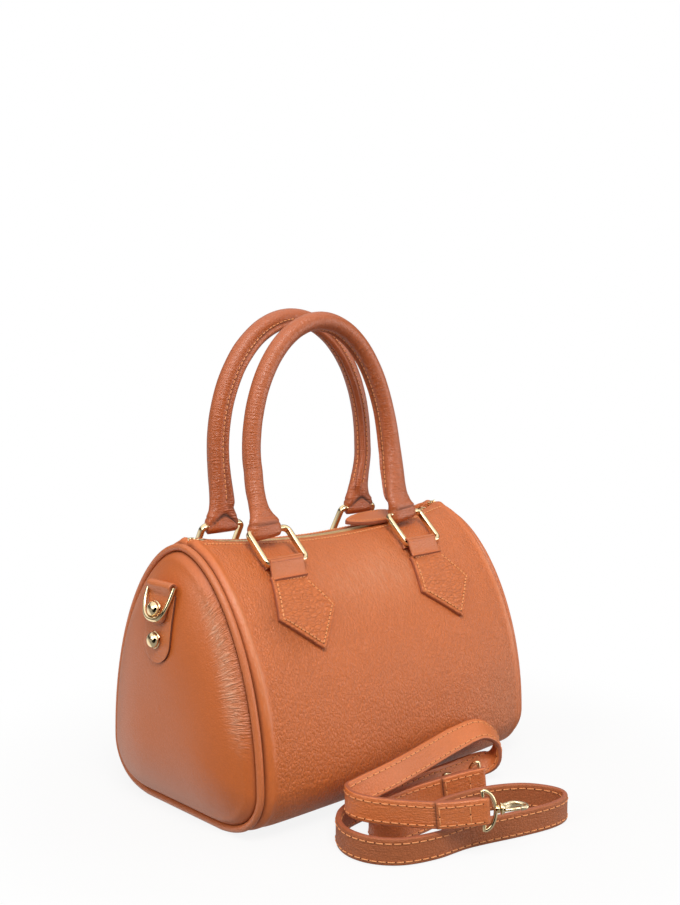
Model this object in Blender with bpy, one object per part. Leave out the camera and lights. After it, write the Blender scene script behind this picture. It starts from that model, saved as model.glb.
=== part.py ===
"""A small barrel-shaped leather handbag with two rolled handles, side rings and a loose shoulder strap.

Metres, +Z up. The origin is the middle of the base, X runs along the bag and the front faces -Y.
"""
import bpy
import bmesh
from math import asin, atan2, cos, pi, radians, sin, sqrt
from mathutils import Matrix, Vector

# Driving sizes of the bag itself
BAG_LENGTH = 0.257
DEPTH_LEFT = 0.159
DEPTH_RIGHT = 0.166
END_HEIGHT = 0.181
MIDDLE_HEIGHT = 0.1765
TOP_ARC = 0.75
SHOULDER_SAG = 0.0035
WIDEST_HEIGHT = 0.0335
SWELL_LEFT = 0.007
SWELL_RIGHT = 0.0105
LEATHER = 0.002
FIT = 0.0003
OVERRUN = 0.002

# Roundness of the section: these are exponents, not lengths
TOP_WIDTH_POWER = 1.11
TOP_HEIGHT_POWER = 1.03
BASE_WIDTH_POWER = 0.42
BASE_HEIGHT_POWER = 1.127
SWELL_POWER = 6.0
SWELL_ROOT = 3.0
TOP_SWELL_POWER = 12.0
FLAT_BASE_SHARE = 0.024
FLAT_LENGTH_SHARE = 0.8

# Piping, end panels, base board and lining
PIPING_RADIUS = 0.0025
PANEL_SWELL = 0.020
PANEL_POWER = 3.0
PANEL_ROOT = 0.8
PANEL_CENTRE_SHARE = 0.42
BOARD_LENGTH = 0.208
BOARD_WIDTH = 0.074
BOARD_THICKNESS = 0.002
BOARD_CORNER = 0.012
LINING_THICKNESS = 0.001
LINING_STAND = 0.003
LINING_END_GAP = 0.006

# Zip
ZIP_SLOT_HALF = 0.006
TAPE_HALF = 0.011
TAPE_THICKNESS = 0.0008
TEETH_LENGTH = 0.226
TOOTH_PITCH = 0.0062
TOOTH_WIDTH = 0.0022
TOOTH_HEIGHT = 0.0018
TOOTH_REACH = 0.0012
RAIL_INNER = 0.0018
RAIL_OUTER = 0.0032
STOP_LENGTH = 0.004
STOP_WIDTH = 0.007
STOP_HEIGHT = 0.0026
SLIDER_END_GAP = 0.019
SLIDER_LENGTH = 0.011
SLIDER_WIDTH = 0.0085
SLIDER_PLATE = 0.0015
SLIDER_LIP = 0.0006
BAIL_HEIGHT = 0.0045
BAIL_LENGTH = 0.0055
BAIL_WIDTH = 0.003
BAIL_BORE = 0.0013
LINK_WIRE = 0.0008
LINK_LENGTH = 0.0115
LINK_WIDTH = 0.0085
LINK_CORNER = 0.0025
LEAF_LENGTH = 0.064
LEAF_WIDTH = 0.019
LEAF_THICKNESS = 0.0034
LEAF_TONGUE = 0.005
LEAF_TONGUE_LENGTH = 0.005
LEAF_DROOP = radians(1.5)

# Rings and the chapes that hold them
RING_SPACING = 0.138
RING_WIDTH = 0.0352
RING_HEIGHT = 0.0285
RING_WIRE = 0.0015
RING_DEPTH = 0.0023
RING_CORNER = 0.0035
RING_FRONT_FOOT_Y = 0.0345
RING_BACK_FOOT_Y = 0.042
RING_LEAN_FRONT = radians(47.5)
RING_LEAN_BACK = radians(29.0)
LOOP_WIDTH = 0.0278
LOOP_LEATHER = 0.0019
PATCH_THICKNESS = 0.0022
PATCH_STAND = 0.0012
PATCH_WIDTH = 0.0525
PATCH_TOP_ANGLE = radians(31.0)
PATCH_SHOULDER_ANGLE = radians(44.3)
PATCH_TIP_ANGLE = radians(54.2)
PATCH_BACK_SHIFT = radians(5.0)

# Rolled handles
HANDLE_RADIUS = 0.0066
HANDLE_CORE_RADIUS = 0.0042
HANDLE_FRONT_HALF_SPAN = 0.07
HANDLE_BACK_HALF_SPAN = 0.0737
HANDLE_FRONT_RISE = 0.1505
HANDLE_BACK_RISE = 0.1549
HANDLE_FRONT_STRAIGHT = 0.0421
HANDLE_BACK_STRAIGHT = 0.0515
HANDLE_FRONT_TOP_Y = 0.0054
HANDLE_BACK_TOP_Y = 0.037
HANDLE_LEAN_BLEND = 0.065
FOOT_WIDTH = 0.0278
FOOT_DEPTH = 0.0092
FOOT_RISE = 0.026
FOOT_WAIST = 0.022
FOOT_SLIT = 0.0016

# Side tabs, their rings and their studs
TAB_WIDTH = 0.028
FLAP_WIDTH = 0.019
TAB_TOP = 0.1575
TAB_BOTTOM = 0.1075
FLAP_BOTTOM = 0.134
TAB_LEATHER = 0.0018
DEE_WIRE = 0.0014
DEE_WIDTH = 0.027
DEE_DROP = 0.0225
DEE_STAND = 0.0018
STUD_UPPER_Z = 0.142
STUD_LOWER_Z = 0.1225
STUD_HEAD = 0.0045
STUD_BASE_RADIUS = 0.0032
STUD_BASE_HEIGHT = 0.0012
STUD_POST = 0.0012
STUD_CAP_RADIUS = 0.0045
STUD_CAP_HEIGHT = 0.0012

# Shoulder strap and its snap hooks
STRAP_WIDTH = 0.017
STRAP_THICKNESS = 0.0036
STRAP_END_THICKNESS = 0.0054
STRAP_END_LENGTH = 0.033
STRAP_STEPS = 118
PILE_LENGTH = 0.1
PILE_X = -0.015
PILE_Y = -0.135
EYE_WIRE = 0.0013
EYE_HEIGHT = 0.0252
EYE_REACH = 0.0088
EYE_INSET = 0.0042
BOSS_RADIUS = 0.0026
BOSS_LENGTH = 0.003
CLAW_LENGTH = 0.0155
CLAW_HALF_WIDTH = 0.0046
CLAW_WIRE = 0.0013
CLAW_ROOT_HEIGHT = 0.0026
GATE_WIRE = 0.001
COLLAR_RADIUS = 0.0038
COLLAR_LENGTH = 0.0025

# Fineness of the meshes
ROUND_STEPS = 40
PIPE_SIDES = 6
WIRE_SIDES = 8
HANDLE_STEPS = 26

HALF_LENGTH = BAG_LENGTH / 2
WRAP_HALF = HALF_LENGTH - PIPING_RADIUS - FIT
END_BOTTOM = PIPING_RADIUS + FIT
SLIDER_X = TEETH_LENGTH / 2 - SLIDER_END_GAP

# Angles and shares of a turn, not lengths
SLOPE_STEP = radians(1.15)
NEARLY_PARALLEL = 0.1
HOOK_FOLDS = (0.0, radians(135.0))


def material(name, colour, roughness, metallic=0.0):
    """Returns a plain Principled material."""
    made = bpy.data.materials.new(name)
    made.use_nodes = True
    shader = made.node_tree.nodes["Principled BSDF"]
    shader.inputs["Base Color"].default_value = (*colour, 1.0)
    shader.inputs["Roughness"].default_value = roughness
    shader.inputs["Metallic"].default_value = metallic
    return made


def make_object(name, points, faces, finish, smooth=radians(35.0)):
    """Makes a mesh object from points and faces, with its normals facing out."""
    mesh = bpy.data.meshes.new(name)
    mesh.from_pydata([tuple(p) for p in points], [], faces)
    work = bmesh.new()
    work.from_mesh(mesh)
    bmesh.ops.recalc_face_normals(work, faces=work.faces)
    work.to_mesh(mesh)
    work.free()
    mesh.shade_smooth()
    mesh.set_sharp_from_angle(angle=smooth)
    mesh.materials.append(finish)
    made = bpy.data.objects.new(name, mesh)
    bpy.context.scene.collection.objects.link(made)
    return made


def grid_faces(rows, columns, first=0, close_rows=False, close_columns=False):
    """Quads between the points of a grid whose rows lie one after another."""
    faces = []
    for i in range(rows if close_rows else rows - 1):
        for j in range(columns if close_columns else columns - 1):
            a = first + i * columns + j
            b = first + i * columns + (j + 1) % columns
            c = first + ((i + 1) % rows) * columns + (j + 1) % columns
            d = first + ((i + 1) % rows) * columns + j
            faces.append((a, b, c, d))
    return faces


def slab(name, outer, inner, finish):
    """A sheet with thickness: two equal grids of points, joined round their rim."""
    rows = len(outer)
    columns = len(outer[0])
    points = [p for row in outer for p in row] + [p for row in inner for p in row]
    count = rows * columns
    faces = grid_faces(rows, columns) + [tuple(reversed(f)) for f in grid_faces(rows, columns, count)]
    for i in range(rows - 1):
        for j in (0, columns - 1):
            a = i * columns + j
            b = (i + 1) * columns + j
            faces.append((a, b, b + count, a + count))
    for j in range(columns - 1):
        for i in (0, rows - 1):
            a = i * columns + j
            faces.append((a, a + 1, a + 1 + count, a + count))
    return make_object(name, points, faces, finish)


def sweep(name, path, section, finish, closed=False, up=Vector((0, 0, 1)), ups=None):
    """Carries a section along a path. section(i) lists (side, up) pairs at step i of the path."""
    count = len(path)
    points = []
    side_before = None
    for i in range(count):
        ahead = path[(i + 1) % count] if closed or i + 1 < count else path[i]
        behind = path[i - 1] if closed or i > 0 else path[i]
        along = (ahead - behind).normalized()
        lift = ups[i] if ups else up
        side = along.cross(lift)
        if side.length < NEARLY_PARALLEL:
            side = side_before
        side = side.normalized()
        side_before = side
        true_up = side.cross(along).normalized()
        points += [path[i] + side * s + true_up * u for s, u in section(i)]
    sides = len(section(0))
    faces = grid_faces(count, sides, 0, closed, True)
    if not closed:
        faces.append(tuple(range(sides)))
        faces.append(tuple((count - 1) * sides + j for j in range(sides)))
    return make_object(name, points, faces, finish)


def ring_section(radius, sides=WIRE_SIDES):
    """A round section as (side, up) pairs."""
    return [(radius * cos(2 * pi * k / sides), radius * sin(2 * pi * k / sides)) for k in range(sides)]


def cylinder(name, base, along, radius, length, finish=None, sides=16):
    """A round bar from a base point along a direction."""
    along = along.normalized()
    side = along.orthogonal().normalized()
    other = along.cross(side)
    rim = [side * (radius * cos(2 * pi * k / sides)) + other * (radius * sin(2 * pi * k / sides))
           for k in range(sides)]
    points = [base + r for r in rim] + [base + along * length + r for r in rim]
    faces = grid_faces(2, sides, 0, False, True)
    faces += [tuple(range(sides)), tuple(range(sides, 2 * sides))]
    return make_object(name, points, faces, finish or CUTTER_FINISH)


def box(name, low, high, finish=None):
    """A box between two corners."""
    points = [(x, y, z) for x in (low[0], high[0]) for y in (low[1], high[1]) for z in (low[2], high[2])]
    faces = [(0, 1, 3, 2), (4, 6, 7, 5), (0, 4, 5, 1), (2, 3, 7, 6), (0, 2, 6, 4), (1, 5, 7, 3)]
    return make_object(name, points, faces, finish or CUTTER_FINISH)


def combine(body, tool, operation):
    """Applies a Boolean to a body with a tool and removes the tool."""
    change = body.modifiers.new(operation.lower(), "BOOLEAN")
    change.operation = operation
    change.object = tool
    change.solver = "EXACT"
    graph = bpy.context.evaluated_depsgraph_get()
    fresh = bpy.data.meshes.new_from_object(body.evaluated_get(graph))
    body.modifiers.clear()
    old = body.data
    body.data = fresh
    fresh.name = old.name
    bpy.data.meshes.remove(old)
    bpy.data.objects.remove(tool)
    return body


def lerp(a, b, share):
    """The value a share of the way from a to b."""
    return a + (b - a) * share


def swell_share(x, power=SWELL_POWER):
    """How far the wrap has swelled away from the piping: 0 at the ends, 1 in the middle."""
    u = min(abs(x) / WRAP_HALF, 1.0)
    return (1 - u ** power) ** (1 / SWELL_ROOT)


def top_height(x):
    """Height of the wrap's top line, which sags between the two ends in a long arc."""
    sagged = MIDDLE_HEIGHT + TOP_ARC - sqrt(TOP_ARC ** 2 - x ** 2)
    return lerp(END_HEIGHT, sagged, swell_share(x, TOP_SWELL_POWER))


def section_point(x, angle, swelled=True):
    """A point (y, z) of the bag's outline at x. The angle runs from the top over the front to the base."""
    share = swell_share(x) if swelled else 0.0
    along = min(max((x / WRAP_HALF + 1) / 2, 0.0), 1.0)
    half = lerp(DEPTH_LEFT, DEPTH_RIGHT, along) / 2 + lerp(SWELL_LEFT, SWELL_RIGHT, along) * share
    top = top_height(x) if swelled else END_HEIGHT
    bottom = 0.0 if share > FLAT_LENGTH_SHARE else lerp(END_BOTTOM, 0.0, share / FLAT_LENGTH_SHARE)
    s = abs(sin(angle))
    c = cos(angle)
    if c > 0:
        y = half * s ** TOP_WIDTH_POWER
        z = WIDEST_HEIGHT + (top - WIDEST_HEIGHT) * c ** TOP_HEIGHT_POWER
        z -= SHOULDER_SAG * share * sin(2 * angle) ** 2
    else:
        y = half * s ** BASE_WIDTH_POWER
        drop = abs(c) ** BASE_HEIGHT_POWER
        if drop > 1 - FLAT_BASE_SHARE:
            drop = 1.0
        z = WIDEST_HEIGHT - (WIDEST_HEIGHT - bottom) * drop
    return (-y if sin(angle) > 0 else y), z


def section_offset(x, angle, outward, swelled=True):
    """The outline's point moved square to the outline, outward for a positive distance."""
    y, z = section_point(x, angle, swelled)
    ya, za = section_point(x, angle - SLOPE_STEP, swelled)
    yb, zb = section_point(x, angle + SLOPE_STEP, swelled)
    length = sqrt((yb - ya) ** 2 + (zb - za) ** 2)
    ny, nz = (zb - za) / length, -(yb - ya) / length
    return y + ny * outward, z + nz * outward


def skin_point(x, angle, outward=0.0):
    """A point on the wrap's outer face, or that far outside it."""
    y, z = section_offset(x, angle, outward)
    return Vector((x, y, z))


def slot_angle(half_width):
    """The outline's angle at which the top lies that far from the middle line."""
    return asin((half_width / (DEPTH_LEFT / 2 + SWELL_LEFT)) ** (1 / TOP_WIDTH_POWER))


def round_angles(edge=None):
    """Angles once round the outline, or from one slot edge round to the other."""
    step = 2 * pi / ROUND_STEPS
    if edge is None:
        return [k * step for k in range(ROUND_STEPS)]
    return [edge] + [k * step for k in range(1, ROUND_STEPS)] + [2 * pi - edge]


WRAP_STATION_SHARES = (-1.0, -0.985, -0.95, -0.87, -0.7, -0.47, -0.23, 0.0,
                       0.23, 0.47, 0.7, 0.87, 0.95, 0.985, 1.0)


def build_wrap():
    """Front, base and back in one piece of leather, open along the top for the zip."""
    angles = round_angles(slot_angle(ZIP_SLOT_HALF))
    stations = [WRAP_HALF * share for share in WRAP_STATION_SHARES]
    outer = [[skin_point(x, a) for a in angles] for x in stations]
    inner = [[skin_point(x, a, -LEATHER) for a in angles] for x in stations]
    return slab("body_wrap", outer, inner, TAN_LEATHER)


def build_piping(name, side):
    """The corded edge between the wrap and an end panel, one closed ring."""
    x = side * HALF_LENGTH
    points = []
    for angle in round_angles():
        for k in range(PIPE_SIDES):
            turn = 2 * pi * k / PIPE_SIDES
            y, z = section_offset(x, angle, PIPING_RADIUS * cos(turn), False)
            points.append(Vector((x + PIPING_RADIUS * sin(turn), y, z)))
    faces = grid_faces(ROUND_STEPS, PIPE_SIDES, 0, True, True)
    return make_object(name, points, faces, EDGE_LEATHER)


def panel_centre():
    """The height about which an end panel's rings shrink."""
    return Vector((0, 0, END_HEIGHT * PANEL_CENTRE_SHARE))


PANEL_RING_SHARES = (1.0, 0.95, 0.82, 0.6, 0.33)


def panel_swell(share):
    """How far an end panel stands out at a share of the way from its middle to its rim."""
    return PANEL_SWELL * (1 - share ** PANEL_POWER) ** PANEL_ROOT


def panel_face_x(side, y, z, outward=0.0):
    """The x of an end panel's outer face at a place near its middle line."""
    rim = section_offset(side * HALF_LENGTH, atan2(abs(y), z - panel_centre().z), -PIPING_RADIUS - FIT, False)
    reach = sqrt(rim[0] ** 2 + (rim[1] - panel_centre().z) ** 2)
    share = sqrt(y ** 2 + (z - panel_centre().z) ** 2) / reach
    return side * (HALF_LENGTH + LEATHER / 2 + panel_swell(min(share, 1.0)) + outward)


def build_end_panel(name, side):
    """A padded leather end, swelling outwards from inside the piping."""
    points = []
    centre = panel_centre()
    for layer in (0, 1):
        for share in PANEL_RING_SHARES:
            x = side * (HALF_LENGTH + LEATHER / 2 - layer * LEATHER + panel_swell(share))
            for angle in round_angles():
                y, z = section_offset(side * HALF_LENGTH, angle, -PIPING_RADIUS - FIT, False)
                points.append(Vector((x, y * share, centre.z + (z - centre.z) * share)))
        points.append(Vector((side * (HALF_LENGTH + LEATHER / 2 - layer * LEATHER + PANEL_SWELL), 0, centre.z)))
    rings = len(PANEL_RING_SHARES)
    layer_size = rings * ROUND_STEPS + 1
    faces = []
    for layer in (0, 1):
        first = layer * layer_size
        faces += grid_faces(rings, ROUND_STEPS, first, False, True)
        last = first + (rings - 1) * ROUND_STEPS
        for j in range(ROUND_STEPS):
            faces.append((last + j, last + (j + 1) % ROUND_STEPS, first + layer_size - 1))
    for j in range(ROUND_STEPS):
        k = (j + 1) % ROUND_STEPS
        faces.append((j, k, k + layer_size, j + layer_size))
    panel = make_object(name, points, faces, TAN_LEATHER)
    for z in (STUD_UPPER_Z, STUD_LOWER_Z):
        combine(panel, stud_hole(side, z), "DIFFERENCE")
    return panel


def build_base_board():
    """The stiff board that lies on the inside of the base."""
    low = LEATHER + FIT
    points = []
    for z in (low, low + BOARD_THICKNESS):
        for sx, sy, start in ((1, 1, 0), (-1, 1, 1), (-1, -1, 2), (1, -1, 3)):
            for k in range(4):
                turn = (start + k / 3) * pi / 2
                points.append(Vector((sx * (BOARD_LENGTH / 2 - BOARD_CORNER) + BOARD_CORNER * cos(turn),
                                      sy * (BOARD_WIDTH / 2 - BOARD_CORNER) + BOARD_CORNER * sin(turn), z)))
    rim = len(points) // 2
    faces = grid_faces(2, rim, 0, False, True) + [tuple(range(rim)), tuple(range(rim, 2 * rim))]
    return make_object("base_board", points, faces, BOARD_FINISH)


def build_lining():
    """The textile bag inside the leather, open at the top under the zip."""
    edge = slot_angle(TAPE_HALF + OVERRUN)
    step = 4 * pi / ROUND_STEPS
    angles = [edge] + [k * step for k in range(1, ROUND_STEPS // 2)] + [2 * pi - edge]
    columns = len(angles)
    half = HALF_LENGTH - LINING_END_GAP
    points = []
    for layer in (0, 1):
        for share in (-1.0, -0.93, -0.75, -0.4, 0.0, 0.4, 0.75, 0.93, 1.0):
            x = (half - layer * LINING_THICKNESS) * share
            inset = -LEATHER - LINING_STAND - layer * LINING_THICKNESS
            skin_x = x * (WRAP_HALF - PIPING_RADIUS * 2) / half
            points += [Vector((x, *section_offset(skin_x, a, inset))) for a in angles]
    rows = 9
    size = rows * columns
    faces = grid_faces(rows, columns) + grid_faces(rows, columns, size)
    for layer in (0, 1):
        for row in (0, rows - 1):
            first = layer * size + row * columns
            for j in range(columns // 2):
                k = columns - 1 - j
                if j + 1 < k - 1:
                    faces.append((first + j, first + j + 1, first + k - 1, first + k))
                elif j + 1 == k - 1:
                    faces.append((first + j, first + j + 1, first + k))
    for i in range(rows - 1):
        for j in (0, columns - 1):
            a = i * columns + j
            faces.append((a, a + columns, a + columns + size, a + size))
    for row in (0, rows - 1):
        a = row * columns
        b = a + columns - 1
        faces.append((a, b, b + size, a + size))
    return make_object("lining", points, faces, LINING_FINISH)


def tape_top(x):
    """Height of the zip tape's upper face: just under the wrap's turned edges."""
    return section_offset(x, 2 * pi / ROUND_STEPS, -LEATHER - FIT * 2)[1]


def zip_stations(count=15):
    """Places along the zip."""
    return [TEETH_LENGTH * (k / (count - 1) - 1 / 2) for k in range(count)]


def build_zip_tape(name, side):
    """Half of the zip's woven tape, sewn under the wrap's edge."""
    outer = []
    inner = []
    for x in zip_stations():
        high = tape_top(x)
        ys = (side * (RAIL_OUTER + FIT), side * TAPE_HALF)
        outer.append([Vector((x, y, high)) for y in ys])
        inner.append([Vector((x, y, high - TAPE_THICKNESS)) for y in ys])
    return slab(name, outer, inner, TAPE_FINISH)


def build_zip_teeth(name, side):
    """One side's row of metal teeth on its bead; the two rows stand between each other."""
    shift = TOOTH_PITCH / 4 * side
    count = int((TEETH_LENGTH / 2 - STOP_LENGTH) / TOOTH_PITCH)
    edges = []
    for k in range(-count, count):
        middle = (k + 1 / 2) * TOOTH_PITCH + shift
        edges += [middle - TOOTH_WIDTH / 2, middle + TOOTH_WIDTH / 2]
    limit = TEETH_LENGTH / 2 - STOP_LENGTH - FIT
    edges = [-limit] + edges + [limit]
    points = []
    for x in edges:
        low = tape_top(x) - TAPE_THICKNESS
        for y in (RAIL_OUTER, RAIL_INNER, -TOOTH_REACH):
            points += [Vector((x, side * y, low)), Vector((x, side * y, low + TOOTH_HEIGHT))]
    faces = []
    for k in range(len(edges) - 1):
        a = k * 6
        b = a + 6
        faces += [(a, a + 1, b + 1, b), (a + 1, a + 3, b + 3, b + 1), (a, b, b + 2, a + 2)]
        if k % 2:
            faces += [(a + 3, a + 5, b + 5, b + 3), (a + 2, b + 2, b + 4, a + 4), (a + 4, b + 4, b + 5, a + 5)]
            faces += [(a + 2, a + 4, a + 5, a + 3), (b + 2, b + 3, b + 5, b + 4)]
        else:
            faces.append((a + 2, b + 2, b + 3, a + 3))
    last = (len(edges) - 1) * 6
    faces += [(0, 2, 3, 1), (last, last + 1, last + 3, last + 2)]
    comb = make_object(name, points, faces, GOLD)
    work = bmesh.new()
    work.from_mesh(comb.data)
    bmesh.ops.delete(work, geom=[v for v in work.verts if not v.link_faces], context="VERTS")
    work.to_mesh(comb.data)
    work.free()
    return comb


def build_zip_stop(name, side):
    """The metal stop that closes the row of teeth at one end."""
    outer_x = side * TEETH_LENGTH / 2
    inner_x = outer_x - side * STOP_LENGTH
    low = tape_top(outer_x) + FIT
    corner = Vector((min(outer_x, inner_x), -STOP_WIDTH / 2, low))
    far = Vector((max(outer_x, inner_x), STOP_WIDTH / 2, low + STOP_HEIGHT))
    return box(name, corner, far, GOLD)


def slider_base():
    """The underside of the slider's plate."""
    lift = TOOTH_HEIGHT - TAPE_THICKNESS + FIT
    return max(tape_top(SLIDER_X + s * SLIDER_LENGTH / 2) for s in (-1, 1)) + lift


def bail_point():
    """Centre of the bore through the slider's bail: the axis that the link turns on."""
    return Vector((SLIDER_X, 0, slider_base() + SLIDER_PLATE + BAIL_HEIGHT / 2))


def build_zip_slider():
    """The slider's plate and the bail on top of it."""
    base = slider_base()
    corner = Vector((SLIDER_X - SLIDER_LENGTH / 2, -SLIDER_WIDTH / 2, base))
    far = Vector((SLIDER_X + SLIDER_LENGTH / 2, SLIDER_WIDTH / 2, base + SLIDER_PLATE))
    slider = box("zip_slider", corner, far, GOLD)
    low = Vector((SLIDER_X - BAIL_LENGTH / 2, -BAIL_WIDTH / 2, base + SLIDER_PLATE / 2))
    high = Vector((SLIDER_X + BAIL_LENGTH / 2, BAIL_WIDTH / 2, base + SLIDER_PLATE + BAIL_HEIGHT))
    combine(slider, box("bail", low, high, GOLD), "UNION")
    start = bail_point() - Vector((0, BAIL_WIDTH, 0))
    combine(slider, cylinder("bore", start, Vector((0, 1, 0)), BAIL_BORE, BAIL_WIDTH * 2), "DIFFERENCE")
    return slider


def loop_path(width, height, corner, steps=3):
    """A rectangle with round corners, centred on its lower bar, as (across, along) pairs."""
    path = []
    for cx, cy, start in ((1, 0, 3), (1, 1, 0), (-1, 1, 1), (-1, 0, 2)):
        middle = (cx * (width / 2 - corner), corner if cy == 0 else height - corner)
        for k in range(steps + 1):
            turn = (start + k / steps) * pi / 2
            path.append((middle[0] + corner * cos(turn), middle[1] + corner * sin(turn)))
    return path


def wire_loop(name, origin, across, along, pairs, wire, finish, depth=None):
    """A closed wire along (across, along) pairs in the plane of two directions."""
    path = [origin + across * a + along * b for a, b in pairs]
    face = across.cross(along).normalized()
    return sweep(name, path, lambda i: oval(wire, depth or wire, WIRE_SIDES), finish, True, face)


def leaf_direction():
    """The way from the slider to the pull's tip: left along the zip and a little down."""
    return Vector((-cos(LEAF_DROOP), 0, -sin(LEAF_DROOP)))


def build_zip_link():
    """The small wire link between the slider's bail and the leather pull."""
    pairs = loop_path(LINK_WIDTH, LINK_LENGTH, LINK_CORNER)
    across = Vector((0, 1, 0))
    return wire_loop("zip_pull_link", bail_point(), across, leaf_direction(), pairs, LINK_WIRE, GOLD)


def leaf_point():
    """The axis on which the leather pull turns: the link's far bar."""
    return bail_point() + leaf_direction() * LINK_LENGTH


LEAF_OUTLINE_SHARES = ((0.0, 0.30), (0.10, 0.78), (0.26, 1.0), (0.5, 1.0), (0.72, 0.86), (0.88, 0.55), (0.97, 0.2))


def build_zip_leaf():
    """The stitched leather pull that hangs on the link."""
    along = leaf_direction()
    up = Vector((-sin(LEAF_DROOP), 0, cos(LEAF_DROOP)))
    start = leaf_point() - along * (LINK_WIRE + FIT + LEAF_TONGUE / 4)
    outline = [(0.0, LEAF_TONGUE / 2), (LEAF_TONGUE_LENGTH, LEAF_TONGUE / 2)]
    body = LEAF_LENGTH - LEAF_TONGUE_LENGTH
    for share, width_share in LEAF_OUTLINE_SHARES:
        width = max(LEAF_WIDTH / 2 * width_share, LEAF_TONGUE / 4)
        outline.append((LEAF_TONGUE_LENGTH + FIT + body * share, width))
    rows = []
    for reach, half in outline:
        place = start + along * reach
        rows.append([place - Vector((0, half, 0)), place + Vector((0, half, 0))])
    outer = [[p + up * (LEAF_THICKNESS / 2) for p in row] for row in rows]
    inner = [[p - up * (LEAF_THICKNESS / 2) for p in row] for row in rows]
    leaf = slab("zip_pull_leaf", outer, inner, TAN_LEATHER)
    bore = cylinder("bore", leaf_point() - Vector((0, LEAF_WIDTH, 0)), Vector((0, 1, 0)),
                    LINK_WIRE + FIT, LEAF_WIDTH * 2)
    return combine(leaf, bore, "DIFFERENCE")


def ring_lean(front):
    """How far a ring leans inwards from upright."""
    return RING_LEAN_FRONT if front else RING_LEAN_BACK


def skin_angle_at(x, y):
    """The outline's angle where the wrap's upper half has that distance from the middle line."""
    along = (x / WRAP_HALF + 1) / 2
    half = lerp(DEPTH_LEFT, DEPTH_RIGHT, along) / 2 + lerp(SWELL_LEFT, SWELL_RIGHT, along) * swell_share(x)
    return asin((y / half) ** (1 / TOP_WIDTH_POWER))


def ring_foot(front, x):
    """Centre of a ring's lower bar, which lies in the chape's loop on the wrap."""
    stand = PATCH_STAND + LOOP_LEATHER + FIT + RING_DEPTH
    foot_y = RING_FRONT_FOOT_Y if front else RING_BACK_FOOT_Y
    place = max((skin_point(end, skin_angle_at(end, foot_y), stand)
                 for end in (-RING_SPACING / 2, RING_SPACING / 2)), key=lambda point: point.z)
    return Vector((x, place.y if front else -place.y, place.z))


def ring_direction(front):
    """The way from a ring's lower bar to its upper bar."""
    lean = ring_lean(front)
    return Vector((0, sin(lean) if front else -sin(lean), cos(lean)))


def ring_top(front, x):
    """Centre of a ring's upper bar, which the handle's foot is folded round."""
    return ring_foot(front, x) + ring_direction(front) * RING_HEIGHT


def build_ring(name, front, x):
    """A rectangular metal ring."""
    pairs = loop_path(RING_WIDTH, RING_HEIGHT, RING_CORNER)
    return wire_loop(name, ring_foot(front, x), Vector((1, 0, 0)), ring_direction(front), pairs, RING_WIRE,
                     GOLD, RING_DEPTH)


CHAPE_ROW_SHARES = ((0.0, 0.06), (0.35, 0.4), (0.7, 0.74), (1.0, 1.0))


def build_chape(name, front, x):
    """A strip of leather: an arrow-shaped patch sewn to the wrap that runs up round a ring's lower bar."""
    mirror = 1 if front else -1
    shift = 0.0 if front else PATCH_BACK_SHIFT
    foot = ring_foot(front, x)
    foot.y = -abs(foot.y)
    inner_radius = RING_DEPTH + FIT
    outer_radius = inner_radius + LOOP_LEATHER
    columns = (-1.0, -0.5, 0.0, 0.5, 1.0)
    rows = []
    tip_to_shoulder = PATCH_TIP_ANGLE - PATCH_SHOULDER_ANGLE
    for share, width_share in CHAPE_ROW_SHARES:
        rows.append((PATCH_TIP_ANGLE - tip_to_shoulder * share, PATCH_WIDTH / 2 * width_share))
    for share in (0.5, 1.0):
        rows.append((lerp(PATCH_SHOULDER_ANGLE, PATCH_TOP_ANGLE, share), lerp(PATCH_WIDTH, LOOP_WIDTH, share) / 2))
    outer = []
    inner = []
    for angle, half in rows:
        for made, stand in ((outer, PATCH_STAND + PATCH_THICKNESS), (inner, PATCH_STAND)):
            made.append([skin_point(x + c * half, angle + shift, stand) for c in columns])
    for turn in (195.0, 165.0, 135.0, 105.0, 75.0, 45.0, 15.0, -15.0, -45.0):
        a = radians(turn)
        out = Vector((0, outer_radius * cos(a), outer_radius * sin(a)))
        into = Vector((0, inner_radius * cos(a), inner_radius * sin(a)))
        outer.append([foot + Vector((c * LOOP_WIDTH / 2, 0, 0)) + out for c in columns])
        inner.append([foot + Vector((c * LOOP_WIDTH / 2, 0, 0)) + into for c in columns])
    for row in outer + inner:
        for point in row:
            point.y *= mirror
    return slab(name, outer, inner, TAN_LEATHER)


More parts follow.
